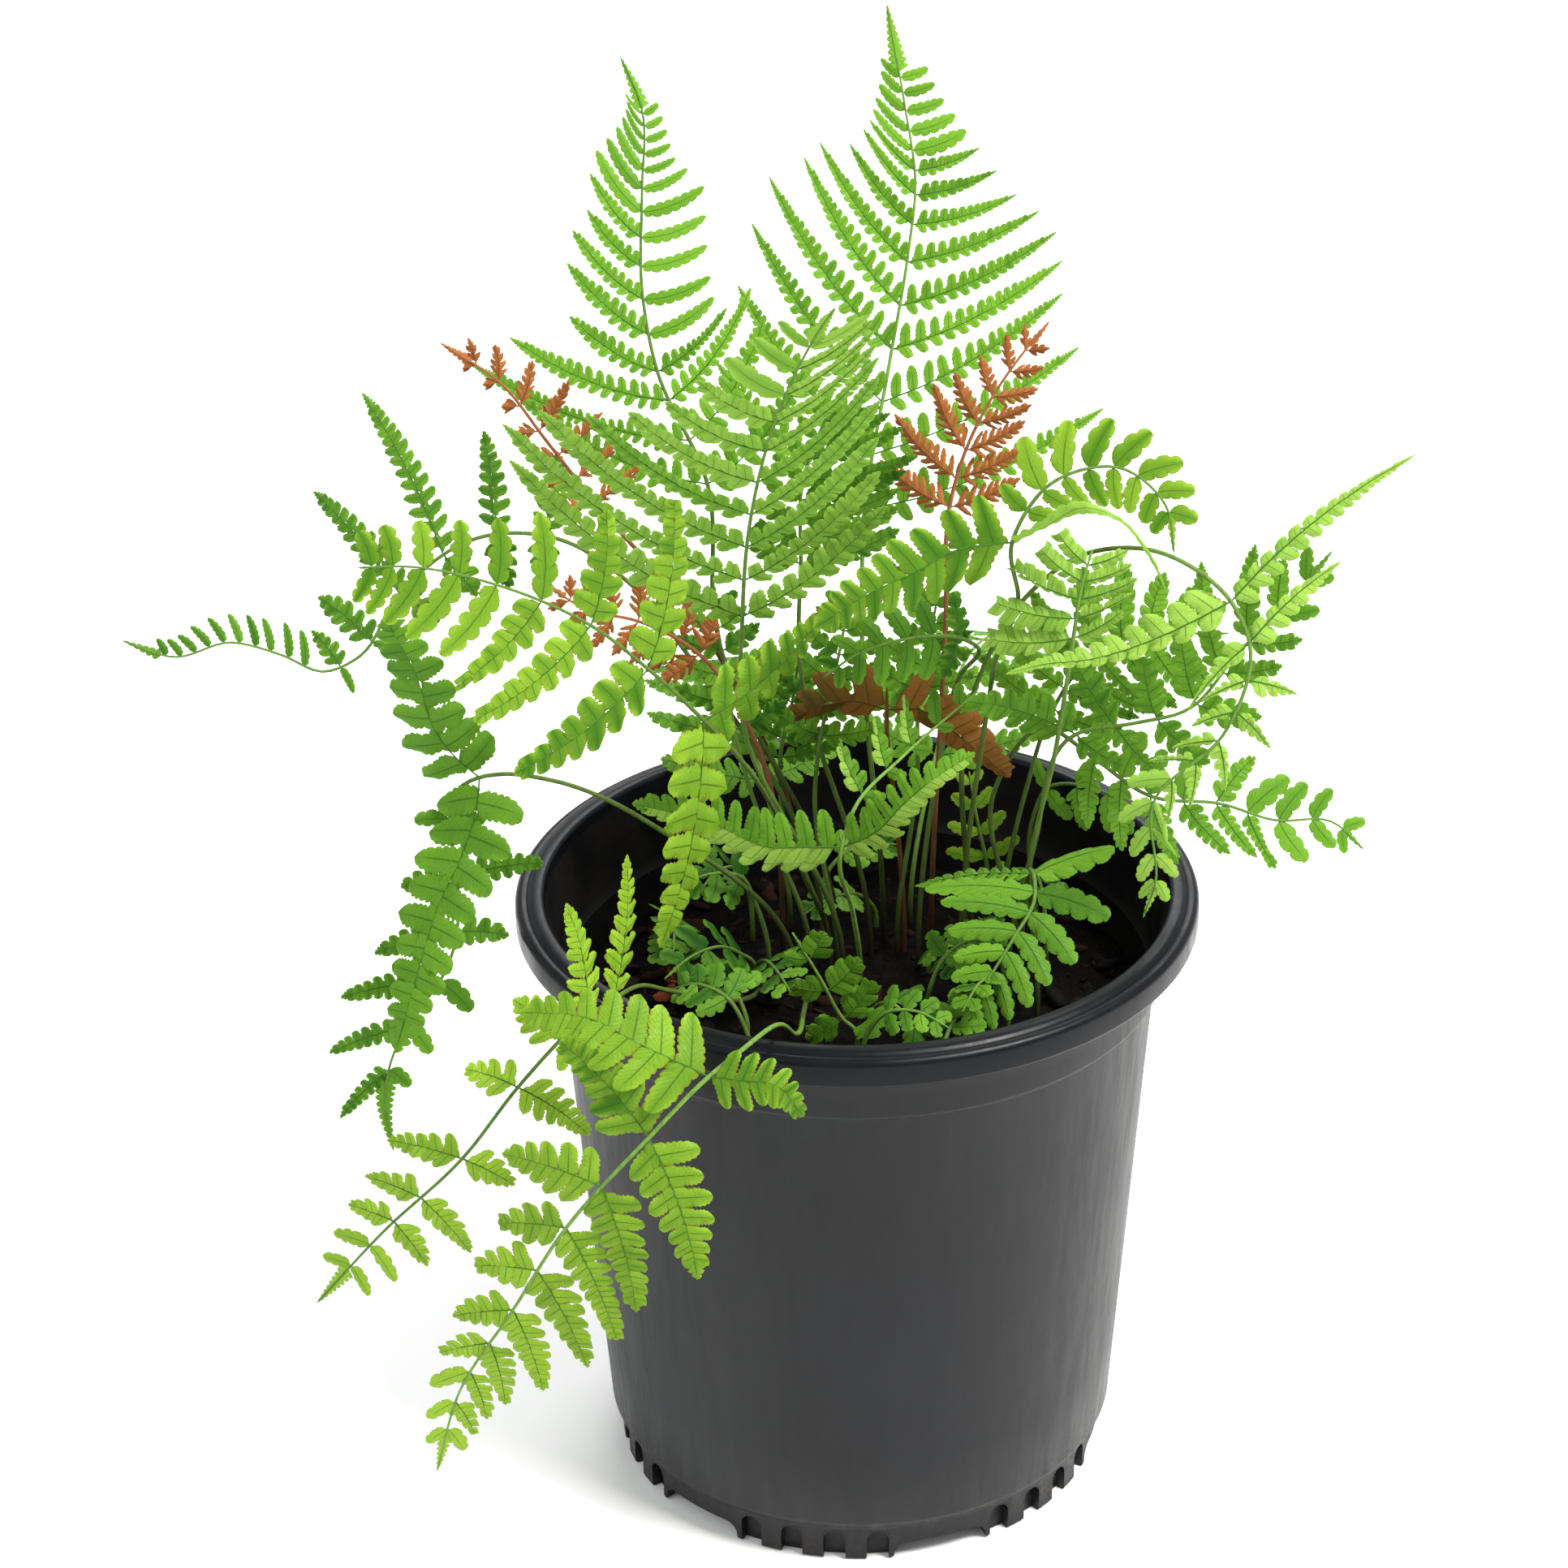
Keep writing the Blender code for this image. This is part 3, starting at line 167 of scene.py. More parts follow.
# Leaflets. Teeth: (share of the tooth's length, share of the notch's depth)
FINE_TEETH = ((0.12, 1.0), (0.4, 0.3), (0.85, 0.0))
COARSE_TEETH = ((0.35, 1.0), (0.85, 0.0))
LAST_TOOTH = 0.98
TEETH = ((6.5, 5), (4.5, 4), (3.0, 3), (-math.inf, 2))  # longer than, number of teeth
WIDE_LEAFLET = 3.0
LEAFLET_GAP = 0.4
LEAFLET_BASE = 0.62
LEAFLET_BLUNT = 3.4
LEAFLET_NOTCH = 0.15
LEAFLET_BULGE = 0.05
LEAFLET_WAVE = 0.14
OVERLAP = 1.02
LEFT_SHIFT = 0.16  # leaflets on the left of a rib stand this share of a step further out
UNDER_JOIN = 0.6
UNDER_TONE = 0.9
TIP_LEAST = 3.2
TIP_SHARE = 0.12
LOBE_ROWS = 8
LOBE_SHIFT = 3
LOBE_TEETH = 0.06
LOBE_FORWARD = 0.45
BULGE = 0.06

# Places of a frond's materials in its piece, and what its ribs have for a share along the stem
LEAF, STALK, PALE = 0, 1, 2
RIB_MARK = 1.2

# Studio, in metres and watts
FLOOR_SIZE = 14.0
FLOOR_DROP = 0.0002
SKY_LIGHT = 0.62
LAMPS_AIM = (0, 0, 0.2)
LAMPS = (
    # name, place, diameter, power, colour
    ("key", (0.9, -0.5, 1.7), 0.8, 62.0, (1.0, 0.985, 0.95)),
    ("fill", (-1.3, -0.9, 1.1), 1.4, 12.0, (0.95, 0.98, 1.0)),
    ("back", (0.2, 1.4, 1.5), 1.4, 22.0, (1.0, 1.0, 1.0)),
)


@dataclass
class Frond:
    """One frond, in millimetres and degrees.

    route: points from the mix to the tip. blade_from: the number of the point where the lowest
    pinnae stand. faces: which way the blade faces, spread over the blade. places: where the
    pairs of pinnae stand, or else pairs says how many there are, and with ease above 1 they
    stand closer near the tip. left, right: rows of (place on the blade, pinna length, degrees
    from the rachis, degrees of lift out of the blade). reach: rows of (place, length of the
    longest leaflets). limbs: pinnae with a route of their own, as (hand, number, leaflet
    length, route).
    """

    name: str
    colour: str
    route: tuple
    blade_from: int
    faces: tuple
    left: tuple
    right: tuple
    reach: tuple
    pairs: int = 8
    places: tuple = ()
    ease: float = 1.25
    droop: float = 0.04
    limbs: tuple = ()


FRONDS = (
    Frond(
        "frond_tall_right", "green",
        route=((8, 30, 152), (2, 33, 256), (3, 40, 286), (10, 60, 321), (16, 74, 352),
            (18, 80, 369), (15, 86, 391), (10, 91, 419)),
        blade_from=2, faces=((0, -0.95, 0.3), (0, -1, 0.1)), pairs=15, ease=1.7,
        right=((0.0, 74, 62), (0.18, 63, 46), (0.31, 56, 52), (0.42, 49, 55), (0.51, 39, 62),
            (0.6, 27, 69), (0.7, 17, 78), (0.81, 10, 85), (1.0, 3, 70)),
        left=((0.0, 60, 50), (0.2, 64, 47), (0.31, 62, 46), (0.4, 51, 43), (0.48, 45, 44),
            (0.56, 30, 46), (0.7, 17, 35), (0.81, 9, 35), (1.0, 3, 35)),
        reach=((0.0, 7), (0.35, 5), (0.6, 3), (1.0, 1.5)),
    ),
    Frond(
        "frond_tall_left", "green",
        route=((-6, 28, 152), (-40, 20, 262), (-41, 22, 302), (-55, 36, 331), (-59, 47, 350),
            (-59, 62, 374), (-59, 73, 395), (-65, 80, 408)),
        blade_from=2, faces=((0.07, -0.98, 0.2), (0, -0.86, 0.5)), pairs=15, ease=1.6,
        right=((0.0, 42, 55), (0.2, 40, 61), (0.3, 22, 66), (0.44, 20, 78), (0.64, 19, 66),
            (0.69, 14, 64), (0.74, 9, 66), (0.84, 5.5, 66), (1.0, 3, 50)),
        left=((0.0, 60, 50), (0.07, 71, 44), (0.2, 50, 43), (0.28, 28, 40), (0.4, 32, 36),
            (0.5, 22, 42), (0.61, 24, 38), (0.72, 15, 34), (0.82, 9, 30), (1.0, 3, 30)),
        reach=((0.0, 6), (0.35, 4.5), (0.6, 3), (1.0, 1.5)),
    ),
    Frond(
        "frond_pale_middle", "pale",
        route=((-4, 8, 152), (-32, -2, 242), (-31, -8, 275), (-28, -22, 309), (-20, -38, 346),
            (-8, -54, 377), (-4, -60, 385)),
        blade_from=2, faces=((-0.1, -0.95, -0.25), (-0.1, -0.95, -0.25)), pairs=12, ease=1.35,
        right=((0.0, 52, 48, -18), (0.33, 51, 35, -18), (0.54, 42, 32, -18),
            (0.75, 28, 30, -18), (1.0, 5, 34, -12)),
        left=((0.0, 80, 54), (0.08, 88, 53), (0.15, 76, 54), (0.27, 69, 55), (0.33, 52, 62),
            (0.44, 38, 68), (0.54, 28, 74), (0.75, 16, 70), (1.0, 4, 50)),
        reach=((0.0, 8), (0.4, 7), (0.7, 5), (1.0, 2)),
    ),
    Frond(
        "frond_left_front", "fresh",
        route=((-8, 14, 152), (-15, 0, 189), (-18, -5, 200), (-28, -22, 232), (-41, -40, 259),
            (-55, -53, 281), (-69, -62, 298), (-91, -70, 313), (-115, -77, 322), (-127, -80, 323)),
        blade_from=4, faces=((0.5, -0.75, 0.3), (0.3, -0.9, 0.2)),
        places=(0.0, 0.24, 0.44, 0.575, 0.685, 0.775, 0.855, 0.92, 0.965),
        right=((0.0, 51, 115), (0.24, 46, 59), (0.44, 31, 66), (0.58, 23, 64), (0.69, 17, 72),
            (0.78, 14, 76), (0.92, 11, 76), (1.0, 9, 70)),
        left=((0.0, 65, 121), (0.24, 49, 65), (0.44, 41, 64), (0.57, 31, 66), (0.69, 23, 68),
            (0.78, 21, 64), (0.92, 14, 62), (1.0, 7, 60)),
        reach=((0.0, 11), (0.24, 8.5), (0.5, 6), (0.8, 4), (1.0, 2.5)),
    ),
    Frond(
        "frond_far_left", "green",
        route=((-10, 25, 152), (-49, 20, 252), (-63, 18, 273), (-82, 20, 286), (-104, 26, 285),
            (-131, 29, 265), (-143, 26, 247), (-153, 25, 243), (-165, 24, 249), (-179, 24, 253),
            (-196, 25, 248), (-211, 26, 253)),
        blade_from=3, faces=((-0.2, -0.8, 0.5), (0.1, -0.85, 0.5)),
        places=(0.04, 0.14, 0.25, 0.37, 0.48, 0.56, 0.63, 0.7, 0.76, 0.82, 0.89, 0.95),
        right=((0.0, 22, 88), (0.14, 30, 90), (0.25, 53, 91), (0.37, 39, 95), (0.49, 19, 94),
            (0.6, 11, 60), (0.7, 10, 58), (0.82, 8.5, 62), (1.0, 3, 40)),
        left=((0.0, 18, 90, -25), (0.4, 14, 90, -25), (0.58, 8, 90, -25), (0.6, 0, 60, -20),
            (1.0, 0, 60)),
        reach=((0.0, 5), (0.25, 6), (0.49, 6), (0.6, 2.5), (1.0, 1.5)),
    ),
    Frond(
        "frond_over_left_rim", "green",
        route=((-18, 5, 152), (-55, -3, 205), (-86, -9, 225), (-100, -11, 228),
            (-106, -11, 227), (-112, -10, 223), (-115, -12, 214), (-114, -15, 203),
            (-113, -19, 190), (-117, -23, 172), (-125, -28, 161), (-133, -31, 148),
            (-136, -34, 133), (-134, -37, 119)),
        blade_from=4, faces=((0.1, -0.95, 0.3), (0.2, -0.95, 0.2), (0.2, -0.95, 0.2)),
        places=(0.0, 0.14, 0.28, 0.41, 0.54, 0.67, 0.79, 0.9),
        right=((0.0, 12, 80), (0.14, 10, 85), (0.28, 16, 88), (0.5, 30, 54), (0.67, 24, 40),
            (0.8, 20, 30), (1.0, 4, 30)),
        left=((0.0, 12, 90), (0.14, 10, 90), (0.28, 25, 92), (0.41, 15, 90), (0.6, 12, 70),
            (1.0, 4, 50)),
        reach=((0.0, 5), (0.5, 5), (1.0, 2)),
        limbs=(
            (1, 0, 13, ((-112, -14, 234), (-118, -18, 246), (-121, -20, 262), (-128, -22, 282))),
            (-1, 0, 13, ((-107, -17, 221), (-111, -27, 211), (-117, -36, 201), (-124, -44, 180),
                (-130, -48, 159))),
        ),
    ),
    Frond(
        "frond_hanging_front", "fresh",
        route=((-14, -8, 152), (-15, -20, 157), (-17, -62, 173), (-22, -84, 189),
            (-32, -104, 192), (-39, -110, 189), (-55, -118, 175), (-77, -118, 148),
            (-94, -114, 117), (-110, -108, 87), (-119, -102, 54)),
        blade_from=5, faces=((0.2, -0.8, 0.4), (0.0, -0.9, 0.4), (0.2, -0.95, -0.2)),
        places=(0.0, 0.14, 0.26, 0.365, 0.47, 0.57, 0.66, 0.74, 0.82, 0.89, 0.95),
        right=((0.0, 50, 60), (0.14, 35, 96), (0.26, 28, 66), (0.36, 19, 54), (0.47, 18, 58),
            (0.57, 18, 46), (0.71, 14, 36), (1.0, 4, 35)),
        left=((0.0, 29, 110), (0.14, 41, 61), (0.26, 38, 52), (0.41, 35, 56), (0.54, 30, 46),
            (0.63, 24, 38), (0.71, 21, 36), (1.0, 4, 35)),
        reach=((0.0, 9), (0.14, 9), (0.3, 8), (0.6, 5), (1.0, 2)),
        limbs=(
            (1, 0, 12, ((-58, -110, 199), (-70, -106, 204), (-89, -100, 203))),
            (-1, 0, 7, ((-31, -114, 190), (-22, -116, 190), (-14, -114, 179))),
        ),
    ),
    Frond(
        "frond_hanging_left", "fresh",
        route=((-26, -4, 152), (-30, -14, 157), (-52, -45, 177), (-60, -61, 188),
            (-66, -75, 192), (-77, -90, 191), (-90, -97, 179), (-106, -98, 157),
            (-130, -92, 129), (-152, -84, 99)),
        blade_from=4, faces=((0.75, -0.65, 0.1), (0.1, -0.9, 0.3), (-0.4, -0.85, 0.2)),
        places=(0.0, 0.08, 0.16, 0.28, 0.475, 0.61, 0.7, 0.785, 0.86, 0.93),
        right=((0.0, 40, 104), (0.08, 34, 92), (0.16, 20, 84), (0.28, 16, 78), (0.475, 21, 64),
            (0.67, 15, 60), (1.0, 5, 50)),
        left=((0.0, 0, 80), (0.08, 8, 80), (0.16, 20, 88), (0.28, 26, 88), (0.475, 16, 100),
            (0.62, 21, 84), (0.71, 15, 78), (1.0, 5, 60)),
        reach=((0.0, 7), (0.3, 5.5), (0.7, 4.5), (1.0, 2)),
    ),
    Frond(
        "frond_arched_right", "green",
        route=((30, 5, 152), (37, 0, 240), (40, -5, 263), (45, -10, 279), (43, -13, 299),
            (54, -9, 315), (73, -7, 318), (85, -11, 308), (87, -15, 296)),
        blade_from=4, faces=((0, -1, 0.1), (0.1, -0.95, 0.2)),
        places=(0.0, 0.14, 0.24, 0.34, 0.44, 0.54, 0.64, 0.74, 0.83, 0.92),
        right=((0.0, 40, 103), (0.14, 9, 70), (0.34, 12, 74), (0.54, 12, 74), (0.74, 9, 62),
            (1.0, 4, 50)),
        left=((0.0, 60, 125), (0.14, 10, 75), (0.24, 16, 66), (0.44, 15, 54), (0.64, 13, 48),
            (0.8, 9, 52), (1.0, 4, 50)),
        reach=((0.0, 13), (0.1, 4), (1.0, 3)),
        limbs=(
            (-1, 0, 14, ((27, -17, 299), (18, -22, 296), (5, -28, 292), (-11, -35, 284))),
            (1, 0, 4.5, ((52, -18, 306), (62, -24, 314), (71, -27, 312), (79, -28, 302),
                (84, -28, 291))),
        ),
    ),
    Frond(
        "frond_far_right", "pale",
        route=((34, 14, 152), (34, 16, 240), (48, 10, 272), (67, -3, 292), (85, -15, 296),
            (102, -24, 286), (107, -28, 276), (101, -33, 251), (82, -35, 231), (83, -35, 204),
            (80, -35, 194)),
        blade_from=5, faces=((-0.1, -0.9, 0.4), (-0.2, -0.98, 0.05)),
        places=(0.0, 0.12, 0.22, 0.31, 0.4, 0.48, 0.56, 0.64, 0.72, 0.8, 0.88),
        right=((0.0, 34, 128), (0.12, 26, 52), (0.24, 13, 50), (0.5, 13, 36), (0.8, 10, 32),
            (1.0, 4, 30)),
        left=((0.0, 63, 93), (0.12, 33, 122), (0.22, 14, 88), (0.4, 14, 46), (0.7, 12, 36),
            (1.0, 4, 30)),
        reach=((0.0, 6), (0.12, 6), (0.2, 4), (0.6, 3.5), (1.0, 2)),
        limbs=(
            (1, 0, 8, ((91, -26, 280), (77, -26, 273), (64, -28, 270), (52, -30, 270),
                (41, -31, 268))),
        ),
    ),
    Frond(
        "frond_right_behind", "green",
        route=((44, 2, 152), (51, 0, 198), (62, -4, 236), (79, -7, 241), (92, -8, 245),
            (107, -8, 264), (121, -8, 280), (131, -8, 294)),
        blade_from=2, faces=((-0.3, -0.9, 0.3), (-0.3, -0.9, 0.2)), pairs=8, ease=1.0,
        right=((0.0, 16, 60), (0.3, 20, 50), (0.6, 16, 42), (1.0, 4, 35)),
        left=((0.0, 34, 130), (0.12, 28, 112), (0.25, 18, 90), (0.38, 24, 60), (0.5, 32, 46),
            (0.62, 28, 40), (0.75, 16, 38), (1.0, 4, 35)),
        reach=((0.0, 9), (0.3, 6), (0.6, 4.5), (1.0, 2)),
        limbs=(
            (-1, 0, 8, ((54, -7, 242), (42, -10, 248), (31, -13, 251))),
        ),
    ),
    Frond(
        "frond_pale_right", "pale",
        route=((47, -5, 152), (50, -5, 198), (56, -13, 236), (58, -16, 254), (60, -17, 272),
            (62, -16, 287), (65, -14, 298)),
        blade_from=4, faces=((-0.1, -0.95, 0.1), (-0.1, -0.95, 0.1)),
        places=(0.0, 0.22, 0.43, 0.62, 0.8),
        right=((0.0, 16, 50), (0.36, 18, 60), (1.0, 9, 50)),
        left=((0.0, 23, 100), (0.36, 22, 78), (0.6, 15, 66), (1.0, 9, 50)),
        reach=((0.0, 8), (1.0, 6)),
    ),
    Frond(
        "frond_right_middle", "green",
        route=((42, 20, 152), (50, 25, 205), (57, 24, 230), (66, 21, 246), (79, 18, 254),
            (94, 15, 258), (106, 13, 259)),
        blade_from=2, faces=((-0.1, -0.9, 0.4), (-0.1, -0.9, 0.4)), pairs=8, ease=1.0,
        right=((0.0, 22, 80), (0.4, 26, 70), (0.75, 18, 60), (1.0, 5, 45)),
        left=((0.0, 26, 80), (0.4, 26, 70), (0.75, 16, 60), (1.0, 5, 45)),
        reach=((0.0, 6), (0.6, 5), (1.0, 2)),
    ),
    Frond(
        "frond_low_right", "green",
        route=((48, 10, 152), (40, 14, 209), (55, 6, 233), (68, 2, 225), (84, 0, 214),
            (104, 1, 211), (120, 2, 205), (136, 3, 204), (146, 2, 195)),
        blade_from=3, faces=((0, -0.8, 0.6), (0.1, -0.9, 0.4)), pairs=9, ease=1.0,
        right=((0.0, 20, 60), (0.22, 21, 48), (0.54, 19, 42), (0.73, 12, 52), (1.0, 4, 40)),
        left=((0.0, 16, 105), (0.22, 14, 90), (0.46, 18, 55), (0.65, 14, 57), (1.0, 4, 50)),
        reach=((0.0, 4.5), (0.6, 4.5), (1.0, 2)),
    ),
    Frond(
        "frond_small_front_right", "green",
        route=((52, -14, 152), (50, -10, 184), (49, -14, 198), (50, -20, 200), (50, -28, 196),
            (44, -37, 189), (35, -45, 177), (27, -52, 165)),
        blade_from=3, faces=((-0.1, -0.8, 0.6), (0, -0.8, 0.6)),
        places=(0.0, 0.12, 0.24, 0.36, 0.48, 0.6, 0.71, 0.81, 0.9),
        right=((0.0, 36, 112), (0.15, 30, 84), (0.3, 22, 62), (0.5, 14, 50), (1.0, 4, 40)),
        left=((0.0, 24, 90), (0.15, 22, 66), (0.3, 18, 62), (0.5, 17, 52), (1.0, 4, 40)),
        reach=((0.0, 5.5), (0.3, 5), (0.6, 4), (1.0, 2)),
    ),
    Frond(
        "frond_curled_front", "fresh",
        route=((1, 1, 152), (-1, -10, 182), (-4, -24, 211), (0, -20, 222), (13, -10, 232),
            (35, 6, 245)),
        blade_from=2, faces=((0, -0.95, 0.1), (0.25, -0.75, 0.6)),
        places=(0.0, 0.26, 0.42, 0.58, 0.74, 0.88),
        right=((0.0, 40, 60), (0.2, 8, 60, -20), (1.0, 4, 40, -20)),
        left=((0.0, 60, 89), (0.2, 17, 60), (0.34, 15, 66), (0.49, 14, 58), (0.66, 12, 55),
            (1.0, 4, 45)),
        reach=((0.0, 8), (0.2, 3.5), (1.0, 2)),
        limbs=(
            (-1, 0, 9, ((-14, -28, 214), (-25, -33, 217), (-38, -34, 224), (-62, -29, 228))),
            (1, 0, 7, ((6, -27, 218), (13, -30, 228), (23, -32, 238), (33, -29, 243))),
        ),
    ),
    Frond(
        "frond_middle_behind", "green",
        route=((4, 22, 152), (-16, 20, 250), (-15, 14, 281), (-14, 10, 308), (-9, 8, 324),
            (-2, 6, 336)),
        blade_from=2, faces=((0, -1, 0), (-0.2, -0.97, 0)), pairs=9, ease=1.1,
        right=((0.0, 30, 66), (0.26, 30, 68), (0.48, 33, 63), (0.61, 28, 48), (0.75, 20, 42),
            (1.0, 5, 40)),
        left=((0.0, 15, 65), (0.4, 12, 60), (1.0, 4, 50)),
        reach=((0.0, 4.5), (1.0, 2)),
    ),
    Frond(
        "frond_dark_middle", "green",
        route=((18, 14, 152), (24, 18, 215), (30, 16, 245), (35, 8, 257), (29, 3, 263),
            (14, 0, 264), (0, -2, 260), (-9, -4, 254)),
        blade_from=4, faces=((0, -0.85, 0.5), (0, -0.85, 0.5)), pairs=6, ease=1.1,
        right=((0.0, 13, 70), (0.5, 12, 65), (1.0, 4, 45)),
        left=((0.0, 13, 75), (0.5, 12, 70), (1.0, 4, 45)),
        reach=((0.0, 3.5), (1.0, 2)),
    ),
    Frond(
        "frond_back_right", "green",
        route=((16, 40, 152), (24, 62, 196), (34, 92, 214), (46, 122, 208), (56, 148, 186)),
        blade_from=1, faces=((0.1, 0.4, 0.9), (0.2, 0.85, 0.5)), pairs=10, ease=1.3,
        right=((0.0, 34, 70), (0.2, 36, 66), (0.5, 26, 60), (1.0, 4, 45)),
        left=((0.0, 30, 70), (0.2, 32, 66), (0.5, 24, 60), (1.0, 4, 45)),
        reach=((0.0, 7), (0.5, 5.5), (1.0, 2)),
    ),
    Frond(
        "frond_back_left", "green",
        route=((-20, 38, 152), (-28, 58, 190), (-36, 86, 208), (-44, 112, 204), (-52, 136, 184)),
        blade_from=1, faces=((-0.1, 0.4, 0.9), (-0.2, 0.85, 0.5)), pairs=9, ease=1.3,
        right=((0.0, 30, 70), (0.2, 32, 66), (0.5, 24, 60), (1.0, 4, 45)),
        left=((0.0, 32, 70), (0.2, 34, 66), (0.5, 24, 60), (1.0, 4, 45)),
        reach=((0.0, 7), (0.5, 5.5), (1.0, 2)),
    ),
    Frond(
        "copper_frond_right", "copper",
        route=((22, 24, 152), (26, 26, 259), (27, 30, 291), (31, 32, 306), (38, 34, 321),
            (46, 36, 333), (55, 38, 344)),
        blade_from=2, faces=((-0.1, -0.98, 0.15), (-0.4, -0.8, 0.3)), pairs=8, ease=1.0,
        right=((0.0, 22, 56), (0.12, 21, 50), (0.3, 19, 40), (0.58, 13, 48), (1.0, 3, 45)),
        left=((0.0, 24, 66), (0.12, 26, 62), (0.25, 22, 46), (0.5, 13, 55), (0.65, 12, 40),
            (1.0, 3, 40)),
        reach=((0.0, 3.5), (0.5, 2.5), (1.0, 1)),
    ),
    Frond(
        "copper_frond_left", "copper",
        route=((-14, 32, 152), (-44, 24, 257), (-72, 8, 303), (-84, 0, 325), (-95, -6, 344),
            (-110, -12, 358)),
        blade_from=2, faces=((0.36, -0.93, 0.1), (0.36, -0.91, 0.2)), pairs=8, ease=1.0,
        right=((0.0, 17, 95), (0.26, 17, 90), (0.35, 18, 76), (0.5, 14, 58), (0.65, 12, 40),
            (1.0, 4, 35)),
        left=((0.0, 10, 60), (0.5, 6, 50), (1.0, 3, 40)),
        reach=((0.0, 3), (0.5, 2.5), (1.0, 1)),
    ),
    Frond(
        "copper_frond_low", "copper",
        route=((-22, 20, 152), (-30, 13, 229), (-44, 8, 256), (-60, 2, 269), (-75, -2, 275),
            (-86, -4, 284)),
        blade_from=2, faces=((0, -0.9, 0.4), (0.1, -0.95, 0.2)), pairs=6, ease=1.0,
        right=((0.0, 12, 70), (0.5, 14, 70), (1.0, 4, 45)),
        left=((0.0, 14, 75), (0.5, 12, 70), (1.0, 4, 45)),
        reach=((0.0, 3.5), (1.0, 1.5)),
    ),
    Frond(
        "frond_withered", "withered",
        route=((14, 24, 152), (10, 20, 215), (9, 13, 228), (9, 12, 236), (9, 11, 244)),
        blade_from=3, faces=((0, -0.99, 0.1), (0, -0.99, 0.1)), places=(0.0,),
        right=((0.0, 30, 80), (0.45, 9, 50), (1.0, 4, 40)),
        left=((0.0, 30, 80), (0.45, 9, 50), (1.0, 4, 40)),
        reach=((0.0, 8), (0.2, 3), (1.0, 2)),
        limbs=(
            (-1, 0, 8, ((0, 12, 239), (-8, 12, 238), (-17, 12, 234))),
            (1, 0, 7, ((18, 11, 237), (30, 9, 229), (44, 8, 216))),
        ),
    ),
    Frond(
        "leaf_dry", "dry",
        route=((-34, -9, 152), (-35, -9, 154), (-38, -8, 156), (-44, -7, 157), (-50, -5, 156),
            (-56, -3, 156)),
        blade_from=2, faces=((0, -0.3, 0.95), (0, -0.3, 0.95)), places=(0.0, 0.45),
        right=((0.0, 7, 80), (0.45, 10, 60), (1.0, 8, 50)),
        left=((0.0, 9, 85), (1.0, 8, 50)),
        reach=((0.0, 5), (1.0, 4)),
    ),
    Frond(
        "leaf_front_low", "fresh",
        route=((0, -32, 152), (-4, -34, 161), (-10, -36, 175), (-18, -35, 190)),
        blade_from=1, faces=((-0.2, -0.85, 0.5), (-0.3, -0.9, 0.3)), places=(0.0, 0.35, 0.7),
        right=((0.0, 15, 70), (0.35, 15, 60), (1.0, 6, 45)),
        left=((0.0, 12, 80), (0.35, 10, 60), (1.0, 5, 45)),
        reach=((0.0, 4), (1.0, 3)),
    ),
    Frond(
        "leaf_front_round", "green",
        route=((4, -22, 152), (5, -26, 160), (10, -34, 166), (17, -43, 164), (27, -46, 160)),
        blade_from=2, faces=((0, -0.5, 0.85), (0.1, -0.6, 0.8)), places=(0.0, 0.5),
        right=((0.0, 15, 75), (0.5, 9, 60), (1.0, 5, 45)),
        left=((0.0, 10, 75), (0.5, 8, 60), (1.0, 5, 45)),
        reach=((0.0, 5), (1.0, 4)),
    ),
    Frond(
        "leaf_left_middle", "green",
        route=((-26, 13, 152), (-30, 12, 174), (-34, 9, 184), (-41, 7, 186), (-50, 5, 184)),
        blade_from=2, faces=((0, -0.6, 0.8), (0, -0.7, 0.7)), places=(0.0, 0.4, 0.75),
        right=((0.0, 11, 80), (0.5, 9, 65), (1.0, 4, 45)),
        left=((0.0, 11, 80), (0.5, 9, 65), (1.0, 4, 45)),
        reach=((0.0, 3.5), (1.0, 2.5)),
    ),
    Frond(
        "leaf_left_low", "green",
        route=((-30, 6, 152), (-34, 0, 163), (-40, -8, 170), (-48, -16, 171), (-55, -23, 168)),
        blade_from=1, faces=((0, -0.5, 0.85), (0, -0.6, 0.75)), places=(0.0, 0.25, 0.5, 0.75),
        right=((0.0, 10, 80), (0.5, 11, 70), (1.0, 4, 50)),
        left=((0.0, 10, 80), (0.5, 11, 70), (1.0, 4, 50)),
        reach=((0.0, 3.5), (1.0, 2.5)),
    ),
    Frond(
        "leaf_right_strap", "green",
        route=((54, 24, 152), (52, 32, 190), (56, 32, 200), (70, 26, 203), (84, 18, 197)),
        blade_from=2, faces=((0, -0.7, 0.7), (0.1, -0.8, 0.6)), places=(0.0, 0.3, 0.6, 0.82),
        right=((0.0, 12, 80), (0.3, 15, 65), (0.6, 12, 55), (1.0, 5, 45)),
        left=((0.0, 10, 80), (0.5, 9, 60), (1.0, 4, 45)),
        reach=((0.0, 4), (1.0, 2.5)),
    ),
    Frond(
        "leaf_right_upright", "fresh",
        route=((40, 32, 152), (38, 27, 180), (36, 26, 190), (33, 28, 208)),
        blade_from=1, faces=((0, -0.95, 0.3), (0, -0.95, 0.3)), places=(0.0, 0.3, 0.6),
        right=((0.0, 12, 65), (0.5, 9, 50), (1.0, 4, 40)),
        left=((0.0, 12, 65), (0.5, 9, 50), (1.0, 4, 40)),
        reach=((0.0, 4), (1.0, 3)),
    ),
)


def clamp(value, low=0.0, high=1.0):
    return min(max(value, low), high)


def polar(radius, turn):
    """A point round the pot's axis, as (x, y)."""
    return radius * math.cos(turn), radius * math.sin(turn)


